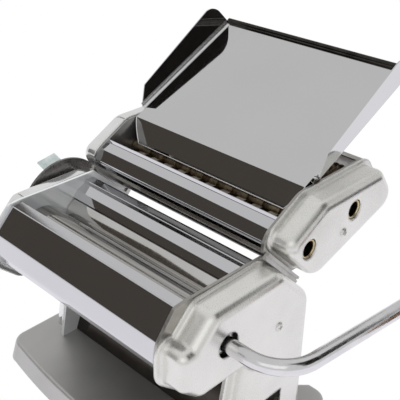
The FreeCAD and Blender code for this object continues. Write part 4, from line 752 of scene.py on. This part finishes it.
# Stage: sockets of the Mix node that carry its factor, its two colours and its result

MIX_FACTOR, MIX_FIRST, MIX_SECOND = 0, 6, 7
MIX_RESULT = 2

# Half the table's width in metres, and the place and the shift of the camera with its sensor in millimetres

TABLE_HALF = 3.0
CAMERA_PLACE = (0.30946, -0.28331, 0.38649)
CAMERA_SHIFT = (0.0397, -0.009)
SENSOR_WIDTH = 36

# Paper and backdrop: their colours in the light, their whites in reflections and the backdrop's strength

PAPER_COLOUR = "#F2F2F2"
PAPER_MIRRORED = "#F4F3F8"
BACKDROP_COLOUR = "#E8EAEE"
BACKDROP_MIRRORED = "#D4D4D4"
BACKDROP_STRENGTH = 0.55

# Key lamp, in metres: its place, what it faces and its size

KEY_PLACE = (-0.5, 0.3, 1.4)
KEY_TARGET = (0, 0, 0.1)
KEY_SIZE = (1.2, 0.9)

# Flags, in metres, that give the polished sheets and the rear roller their dark bands

FRONT_FLAG = {"centre": (-1.0, -1.25, 0.72), "facing": (1, 0, 0), "width": 1.2, "height": 1.04}
HIGH_FLAG = {"centre": (-1.0, 0.52, 1.2), "facing": (1, 0, 0), "width": 1.1, "height": 0.13, "spin": 65}

# Flags that darken the insides of the tray's wings and what mirrors the low right

RIGHT_FLAG = {"centre": (0.8, 0.55, 1.0), "facing": (-0.62, 0, -0.78), "width": 1.0, "height": 1.0}
LOW_RIGHT_FLAG = {"centre": (0.36, 0.42, 0.1), "facing": (-1, 0, 0), "width": 0.4, "height": 0.2}

# Board that whitens the metal that mirrors the front right

FRONT_BOARD = {"centre": (0.8, -1.3, 1.3), "facing": (-0.45, 0.65, -0.62), "width": 1.6, "height": 1.2}


def background_share(tree, ray):
    """One where the camera, or a reflection or refraction, looks at the backdrop; zero for light from it."""
    total = ray.outputs["Is Camera Ray"]
    for name in ("Is Glossy Ray", "Is Transmission Ray"):
        both = add(tree, "ShaderNodeMath", {"operation": "MAXIMUM"}, {})
        tree.links.new(total, both.inputs[0])
        tree.links.new(ray.outputs[name], both.inputs[1])
        total = both.outputs[0]
    return total


def background_colour(tree, ray, mirrored):
    """White to the camera, and a paler or greyer white in the metal's reflections."""
    pick = add(tree, "ShaderNodeMix", {"data_type": "RGBA"}, {})
    pick.inputs[MIX_FIRST].default_value = srgb(mirrored)
    pick.inputs[MIX_SECOND].default_value = srgb("#FFFFFF")
    tree.links.new(ray.outputs["Is Camera Ray"], pick.inputs[MIX_FACTOR])
    return pick.outputs[MIX_RESULT]


def seen_or_lit(tree, ray, lit, seen):
    """The seen surface where the background is looked at, and the lit one everywhere else."""
    pick = add(tree, "ShaderNodeMixShader", {}, {"Fac": background_share(tree, ray)})
    tree.links.new(lit.outputs[0], pick.inputs[1])
    tree.links.new(seen.outputs[0], pick.inputs[2])
    return pick.outputs[0]


def emitter(name, colour):
    """Material of a white board or a dark flag: it shows its colour in reflections and takes no shade."""
    material = bpy.data.materials.new(name)
    material.use_nodes = True
    tree = material.node_tree
    tree.nodes.clear()
    glow = add(tree, "ShaderNodeEmission", {"Color": srgb(colour), "Strength": 1.0}, {})
    add(tree, "ShaderNodeOutputMaterial", {}, {"Surface": glow.outputs["Emission"]})
    return material


def card(name, centre, facing, width, height, material, spin=0.0):
    """A flat studio card that only reflections see, spun about its middle by an angle in degrees."""
    mesh = bpy.data.meshes.new(name)
    half = Vector((width / 2, height / 2, 0))
    corners = [(-half.x, -half.y, 0), (half.x, -half.y, 0), (half.x, half.y, 0), (-half.x, half.y, 0)]
    mesh.from_pydata(corners, [], [(0, 1, 2, 3)])
    turn = Vector(facing).to_track_quat("Z", "Y").to_matrix().to_4x4()
    twist = Matrix.Rotation(math.radians(spin), 4, "Z")
    mesh.transform(Matrix.Translation(centre) @ turn @ twist)
    piece = bpy.data.objects.new(name, mesh)
    bpy.context.scene.collection.objects.link(piece)
    piece.data.materials.append(material)
    piece.visible_camera = False
    piece.visible_diffuse = False
    piece.visible_shadow = False
    return piece


def studio_paper():
    """White paper of the table: lit softly, and plain white behind the object and in its reflections."""
    paper = bpy.data.materials.new("white studio paper")
    paper.use_nodes = True
    tree = paper.node_tree
    tree.nodes.clear()
    ray = add(tree, "ShaderNodeLightPath", {}, {})
    lit = add(tree, "ShaderNodeBsdfDiffuse", {"Color": srgb(PAPER_COLOUR)}, {})
    white = background_colour(tree, ray, PAPER_MIRRORED)
    seen = add(tree, "ShaderNodeEmission", {"Strength": 1.0}, {"Color": white})
    add(tree, "ShaderNodeOutputMaterial", {}, {"Surface": seen_or_lit(tree, ray, lit, seen)})
    return paper


def studio_world():
    """White backdrop all round, dimmer where it lights the object."""
    world = bpy.data.worlds.new("studio")
    world.use_nodes = True
    tree = world.node_tree
    tree.nodes.clear()
    ray = add(tree, "ShaderNodeLightPath", {}, {})
    glow = {"Color": srgb(BACKDROP_COLOUR), "Strength": BACKDROP_STRENGTH}
    lit = add(tree, "ShaderNodeBackground", glow, {})
    white = background_colour(tree, ray, BACKDROP_MIRRORED)
    seen = add(tree, "ShaderNodeBackground", {"Strength": 1.0}, {"Color": white})
    add(tree, "ShaderNodeOutputWorld", {}, {"Surface": seen_or_lit(tree, ray, lit, seen)})
    return world


def softbox(name, centre, facing, size, power):
    """A rectangular lamp that faces a point."""
    data = bpy.data.lights.new(name, "AREA")
    data.shape = "RECTANGLE"
    data.size, data.size_y = size
    data.energy = power
    lamp = bpy.data.objects.new(name, data)
    bpy.context.scene.collection.objects.link(lamp)
    lamp.location = centre
    lamp.rotation_euler = (Vector(facing) - lamp.location).to_track_quat("-Z", "Y").to_euler()
    lamp.visible_glossy = False
    return lamp


# Sizes and colours that can be changed


class PastaFinishes(bpy.types.PropertyGroup):
    """Colours of the main finishes, and sizes of the finishing."""

    cover_colour: bpy.props.FloatVectorProperty(
        name="Cover colour", description="Colour of the satin side covers", default=srgb("#F6F5F0"),
        size=4, min=0, max=1, subtype="COLOR",
    )
    sheet_colour: bpy.props.FloatVectorProperty(
        name="Sheet colour", description="Colour of the mirror polished sheets", default=srgb("#DADADC"),
        size=4, min=0, max=1, subtype="COLOR",
    )
    grip_colour: bpy.props.FloatVectorProperty(
        name="Grip colour", description="Colour of the crank's wooden grip", default=srgb("#B07A4A"),
        size=4, min=0, max=1, subtype="COLOR",
    )

    sharp_angle: bpy.props.FloatProperty(
        name="Sharp angle", description="Edges turned more than this stay crisp", default=math.radians(32),
        subtype="ANGLE",
    )
    screw_radius: bpy.props.FloatProperty(
        name="Screw head radius", description="Radius of the cover screws' heads", default=3.2 * MM,
        subtype="DISTANCE", unit="LENGTH",
    )
    recess_width: bpy.props.FloatProperty(
        name="Recess width", description="Width of the cross recess in a screw", default=0.9 * MM,
        subtype="DISTANCE", unit="LENGTH",
    )


class PastaTray(bpy.types.PropertyGroup):
    """Sizes of the tray's folds, curl and hem."""

    slope: bpy.props.FloatProperty(
        name="Slope", description="Angle of the tray's plate", default=math.radians(25.8), subtype="ANGLE",
    )
    fold_radius: bpy.props.FloatProperty(
        name="Fold radius", description="Inner radius of the bend at each wing", default=3.0 * MM,
        subtype="DISTANCE", unit="LENGTH",
    )
    curl_radius: bpy.props.FloatProperty(
        name="Curl radius", description="Radius of the curled upper edge", default=2.4 * MM,
        subtype="DISTANCE", unit="LENGTH",
    )
    hem_radius: bpy.props.FloatProperty(
        name="Hem radius", description="Radius of the hem round the lip", default=0.6 * MM,
        subtype="DISTANCE", unit="LENGTH",
    )


class PastaStage(bpy.types.PropertyGroup):
    """Camera, table and light."""

    azimuth: bpy.props.FloatProperty(
        name="Azimuth", description="Camera's turn from the front towards the crank",
        default=math.radians(45.083), subtype="ANGLE",
    )
    elevation: bpy.props.FloatProperty(
        name="Elevation", description="Camera's height angle", default=math.radians(28.944), subtype="ANGLE",
    )
    roll: bpy.props.FloatProperty(
        name="Roll", description="Camera's turn about its own axis", default=math.radians(0.172),
        subtype="ANGLE",
    )
    lens: bpy.props.FloatProperty(
        name="Lens", description="Focal length in millimetres", default=69.024, unit="CAMERA",
    )
    key_power: bpy.props.FloatProperty(
        name="Key lamp", description="Power of the key lamp in watts", default=10.0, unit="POWER",
    )


# Operators


def finish_group(names, material, context):
    """Gives several CAD nodes the same finish."""
    for name in names:
        finish(name, material, context.scene.pasta_finishes.sharp_angle)


class PASTA_OT_base(bpy.types.Operator):
    """Finishes the base plate and its feet"""

    bl_idname = "pasta.base"
    bl_label = "Base plate"

    def execute(self, context):
        finish_group(["base_plate"], base_chrome(), context)
        finish_group(["rubber_feet"], foot_rubber(), context)
        return {"FINISHED"}


class PASTA_OT_covers(bpy.types.Operator):
    """Finishes the pressed side covers of the machine and of the cutting unit"""

    bl_idname = "pasta.covers"
    bl_label = "Side covers"

    def execute(self, context):
        satin = satin_chrome(context.scene.pasta_finishes.cover_colour)
        finish_group(["right_cover", "cutter_right_cover"], satin, context)
        finish_group(["left_cover", "cutter_left_cover"], polished_chrome(), context)
        finish_group(["right_frame", "cutter_right_frame"], plated_steel(), context)
        finish_group(["left_frame"], inner_chrome(), context)
        # The cutting unit's far plate is darkened: painted shade for the tray's shadow
        finish_group(["cutter_left_frame"], shade_painted_chrome(), context)
        return {"FINISHED"}


class PASTA_OT_sheets(bpy.types.Operator):
    """Finishes the polished cross sheets"""

    bl_idname = "pasta.sheets"
    bl_label = "Polished sheets"

    def execute(self, context):
        values = context.scene.pasta_finishes
        chrome = bright_chrome(values.sheet_colour)
        finish_group(["rear_cover", "cutter_front_cover", "cutter_ridge"], chrome, context)
        finish("front_cover", chrome, values.sharp_angle, tighten_bend)
        finish_group(["cutter_rear_cover"], plated_steel(), context)
        # The chute is painted dark: painted shade under the rollers
        finish_group(["chute"], shade_painted_chute_steel(), context)
        return {"FINISHED"}


class PASTA_OT_rollers(bpy.types.Operator):
    """Finishes the sheeting rollers, their gears, bearings and scrapers"""

    bl_idname = "pasta.rollers"
    bl_label = "Sheeting rollers"

    def execute(self, context):
        # The front roller's long dark streaks are painted reflections
        finish_group(["front_roller"], reflection_streaked_roller_chrome(), context)
        finish_group(["rear_roller"], roller_chrome(), context)
        finish_group(["front_roller_gear", "rear_roller_gear"], cutter_steel(), context)
        finish_group(["drive_bushes", "rear_roller_sleeves"], bearing_bronze(), context)
        steel = turned_steel()
        finish_group(["tie_rods", "cover_pillars", "frame_screws"], steel, context)
        finish_group(["right_guide_rail", "left_guide_rail", "front_scraper", "rear_scraper"], steel, context)
        return {"FINISHED"}


class PASTA_OT_adjuster(bpy.types.Operator):
    """Finishes the thickness adjuster"""

    bl_idname = "pasta.adjuster"
    bl_label = "Thickness adjuster"

    def execute(self, context):
        finish_group(["adjuster_lever"], passivated_zinc(), context)
        finish_group(["adjuster_dial", "right_eccentric", "left_eccentric"], dial_steel(), context)
        steel = turned_steel()
        finish_group(["adjuster_link_rod", "dial_pivot"], steel, context)
        spring = finish("adjuster_spring", steel, context.scene.pasta_finishes.sharp_angle)
        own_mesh(spring)
        return {"FINISHED"}


class PASTA_OT_cutting_unit(bpy.types.Operator):
    """Finishes the cutting rollers, gears, combs and rods of the cutting unit"""

    bl_idname = "pasta.cutting_unit"
    bl_label = "Cutting unit"

    def execute(self, context):
        wide = ["wide_cutter_driver", "wide_cutter_partner"]
        narrow = ["narrow_cutter_driver", "narrow_cutter_partner"]
        gears = ["wide_driver_gear", "wide_partner_gear", "narrow_driver_gear", "narrow_partner_gear"]
        combs = ["wide_front_comb", "wide_rear_comb", "narrow_front_comb", "narrow_rear_comb"]
        finish_group(wide + narrow + gears, cutter_steel(), context)
        finish_group(combs, comb_steel(), context)
        finish_group(["cutter_bushes"], bearing_bronze(), context)
        finish_group(["cutter_tie_rods", "cutter_pillars"], turned_steel(), context)
        brass = socket_brass()
        for node in ("wide_cutter_driver", "narrow_cutter_driver"):
            corners = [vertex.co for vertex in NODES[node].data.vertices]
            tip = max(co.x for co in corners)
            mouth = [co for co in corners if co.x > tip - MOUTH_DEPTH * MM]
            profile = [(tip + x * MM, radius * MM) for x, radius in SOCKET_RING]
            mesh = turned_ring("socket_ring", profile, middle(mouth), SOCKET_SEGMENTS)
            mesh = smoothed(mesh, "socket_ring", TURNED_SHARP)
            place(mesh, node + "_ring", brass, BODY_OF[node])
        return {"FINISHED"}


class PASTA_OT_tray(bpy.types.Operator):
    """Finishes the feed tray"""

    bl_idname = "pasta.tray"
    bl_label = "Feed tray"

    def execute(self, context):
        values = context.scene.pasta_tray
        finish("feed_tray", tray_steel(), context.scene.pasta_finishes.sharp_angle, reshape_tray)
        body, slot = BODY_OF["feed_tray"], SLOT_OF["feed_tray"]
        uphill = Vector((0, math.cos(values.slope), math.sin(values.slope)))
        upright = Vector((0, -math.sin(values.slope), math.cos(values.slope)))
        # The folds and hem are brighter than the sheet: a painted highlight along the bends
        bright = highlight_painted_fold_steel()
        length = uphill * TRAY_FOLD_LENGTH * MM
        for side, name in ((1, "left"), (-1, "right")):
            start = Vector((-side * TRAY_FOLD_HALF, *TRAY_FOLD_FOOT)) * MM
            mesh = bar("tray_fold", fold_outline(values.fold_radius), start, length, (side, 0, 0), upright)
            mesh = smoothed(mesh, "tray_fold", TRIM_SHARP)
            place(mesh, "tray_%s_fold" % name, bright, body)
        start = Vector((-TRAY_FOLD_HALF, *TRAY_CURL_CENTRE)) * MM
        width = (2 * TRAY_FOLD_HALF * MM, 0, 0)
        mesh = bar("tray_curl", curl_outline(values.curl_radius), start, width, uphill, upright)
        # The curl's dark colour is painted shade
        place(smoothed(mesh, "tray_curl", TRIM_SHARP), "tray_curl", shade_painted_curl_steel(), body)
        mesh = smoothed(lip_hem(values.hem_radius), "tray_hem", TRIM_SHARP)
        place(mesh, "tray_hem", bright, body)
        return {"FINISHED"}


class PASTA_OT_crank(bpy.types.Operator):
    """Finishes the crank and its grip"""

    bl_idname = "pasta.crank"
    bl_label = "Crank"

    def execute(self, context):
        finish_group(["crank"], crank_chrome(), context)
        finish_group(["crank_grip"], grip_beech(context.scene.pasta_finishes.grip_colour), context)
        return {"FINISHED"}


class PASTA_OT_screws(bpy.types.Operator):
    """Sets cross recessed screws in the side covers"""

    bl_idname = "pasta.screws"
    bl_label = "Cover screws"

    def execute(self, context):
        values = context.scene.pasta_finishes
        material = screw_steel()
        tree = recessed_screw("cross_recessed_screw", material)
        inputs = {"Head radius": values.screw_radius, "Recess width": values.recess_width}
        for node in ("cover_screws", "cutter_screws"):
            places = []
            for side in (-1, 1):
                near = [vertex.co for vertex in NODES[node].data.vertices if vertex.co.x * side > 0]
                x = min(abs(co.x) for co in near) * side
                places.append(((x, *middle(near)), (side, 0, 0)))
            mesh = smoothed(grown(places, tree, inputs, node), node, TURNED_SHARP)
            piece = place(mesh, node + "_recessed", material, BODY_OF[node])
            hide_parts(node)
        return {"FINISHED"}


def photo_camera(values):
    """The camera, at the photograph's viewing angle."""
    data = bpy.data.cameras.new("photo camera")
    data.sensor_width = SENSOR_WIDTH
    data.lens = values.lens
    data.shift_x, data.shift_y = CAMERA_SHIFT
    camera = bpy.data.objects.new("photo camera", data)
    back = Vector((
        math.cos(values.elevation) * math.sin(values.azimuth),
        -math.cos(values.elevation) * math.cos(values.azimuth),
        math.sin(values.elevation),
    ))
    right = Vector((0, 0, 1)).cross(back).normalized()
    up = back.cross(right)
    turned_right = right * math.cos(values.roll) + up * math.sin(values.roll)
    turned_up = back.cross(turned_right)
    turn = Matrix((turned_right, turned_up, back)).transposed().to_4x4()
    camera.matrix_world = Matrix.Translation(CAMERA_PLACE) @ turn
    return camera


class PASTA_OT_stage(bpy.types.Operator):
    """Sets the table, backdrop, lights and camera"""

    bl_idname = "pasta.stage"
    bl_label = "Stage"

    def execute(self, context):
        values = context.scene.pasta_stage
        mesh = bpy.data.meshes.new("table")
        corners = [(x * TABLE_HALF, y * TABLE_HALF, 0) for x, y in ((-1, -1), (1, -1), (1, 1), (-1, 1))]
        mesh.from_pydata(corners, [], [(0, 1, 2, 3)])
        table = bpy.data.objects.new("table", mesh)
        context.scene.collection.objects.link(table)
        mesh.materials.append(studio_paper())
        context.scene.world = studio_world()
        softbox("key softbox", KEY_PLACE, KEY_TARGET, KEY_SIZE, values.key_power)
        dark = emitter("dark flag", "#4A4540")
        black = emitter("black flag", "#1E1B1A")
        white = emitter("white board", "#FFFFFF")
        card("front flag", material=dark, **FRONT_FLAG)
        card("high flag", material=dark, **HIGH_FLAG)
        card("right flag", material=black, **RIGHT_FLAG)
        card("low right flag", material=black, **LOW_RIGHT_FLAG)
        card("front board", material=white, **FRONT_BOARD)
        camera = photo_camera(values)
        context.scene.collection.objects.link(camera)
        context.scene.camera = camera
        context.scene.view_settings.view_transform = "Standard"
        return {"FINISHED"}


class PASTA_PT_panel(bpy.types.Panel):
    """Lists the pieces and the stage in the sidebar"""

    bl_idname = "PASTA_PT_panel"
    bl_label = "Pasta machine"
    bl_space_type = "VIEW_3D"
    bl_region_type = "UI"
    bl_category = "Pasta machine"

    def draw(self, context):
        for operator in OPERATORS:
            self.layout.operator(operator.bl_idname)


OPERATORS = (
    PASTA_OT_base, PASTA_OT_covers, PASTA_OT_sheets, PASTA_OT_rollers, PASTA_OT_adjuster,
    PASTA_OT_cutting_unit, PASTA_OT_tray, PASTA_OT_crank, PASTA_OT_screws, PASTA_OT_stage,
)
CLASSES = (PastaFinishes, PastaTray, PastaStage, *OPERATORS, PASTA_PT_panel)


def register():
    """Registers the classes and hangs their properties on the scene."""
    for item in CLASSES:
        bpy.utils.register_class(item)
    bpy.types.Scene.pasta_finishes = bpy.props.PointerProperty(type=PastaFinishes)
    bpy.types.Scene.pasta_tray = bpy.props.PointerProperty(type=PastaTray)
    bpy.types.Scene.pasta_stage = bpy.props.PointerProperty(type=PastaStage)


def unregister():
    """Takes the properties off the scene and removes the classes."""
    del bpy.types.Scene.pasta_stage
    del bpy.types.Scene.pasta_tray
    del bpy.types.Scene.pasta_finishes
    for item in reversed(CLASSES):
        bpy.utils.unregister_class(item)


def main():
    """Makes every piece and the stage."""
    register()
    for operator in OPERATORS:
        group, name = operator.bl_idname.split(".")
        getattr(getattr(bpy.ops, group), name)()


if __name__ == "__main__":
    main()
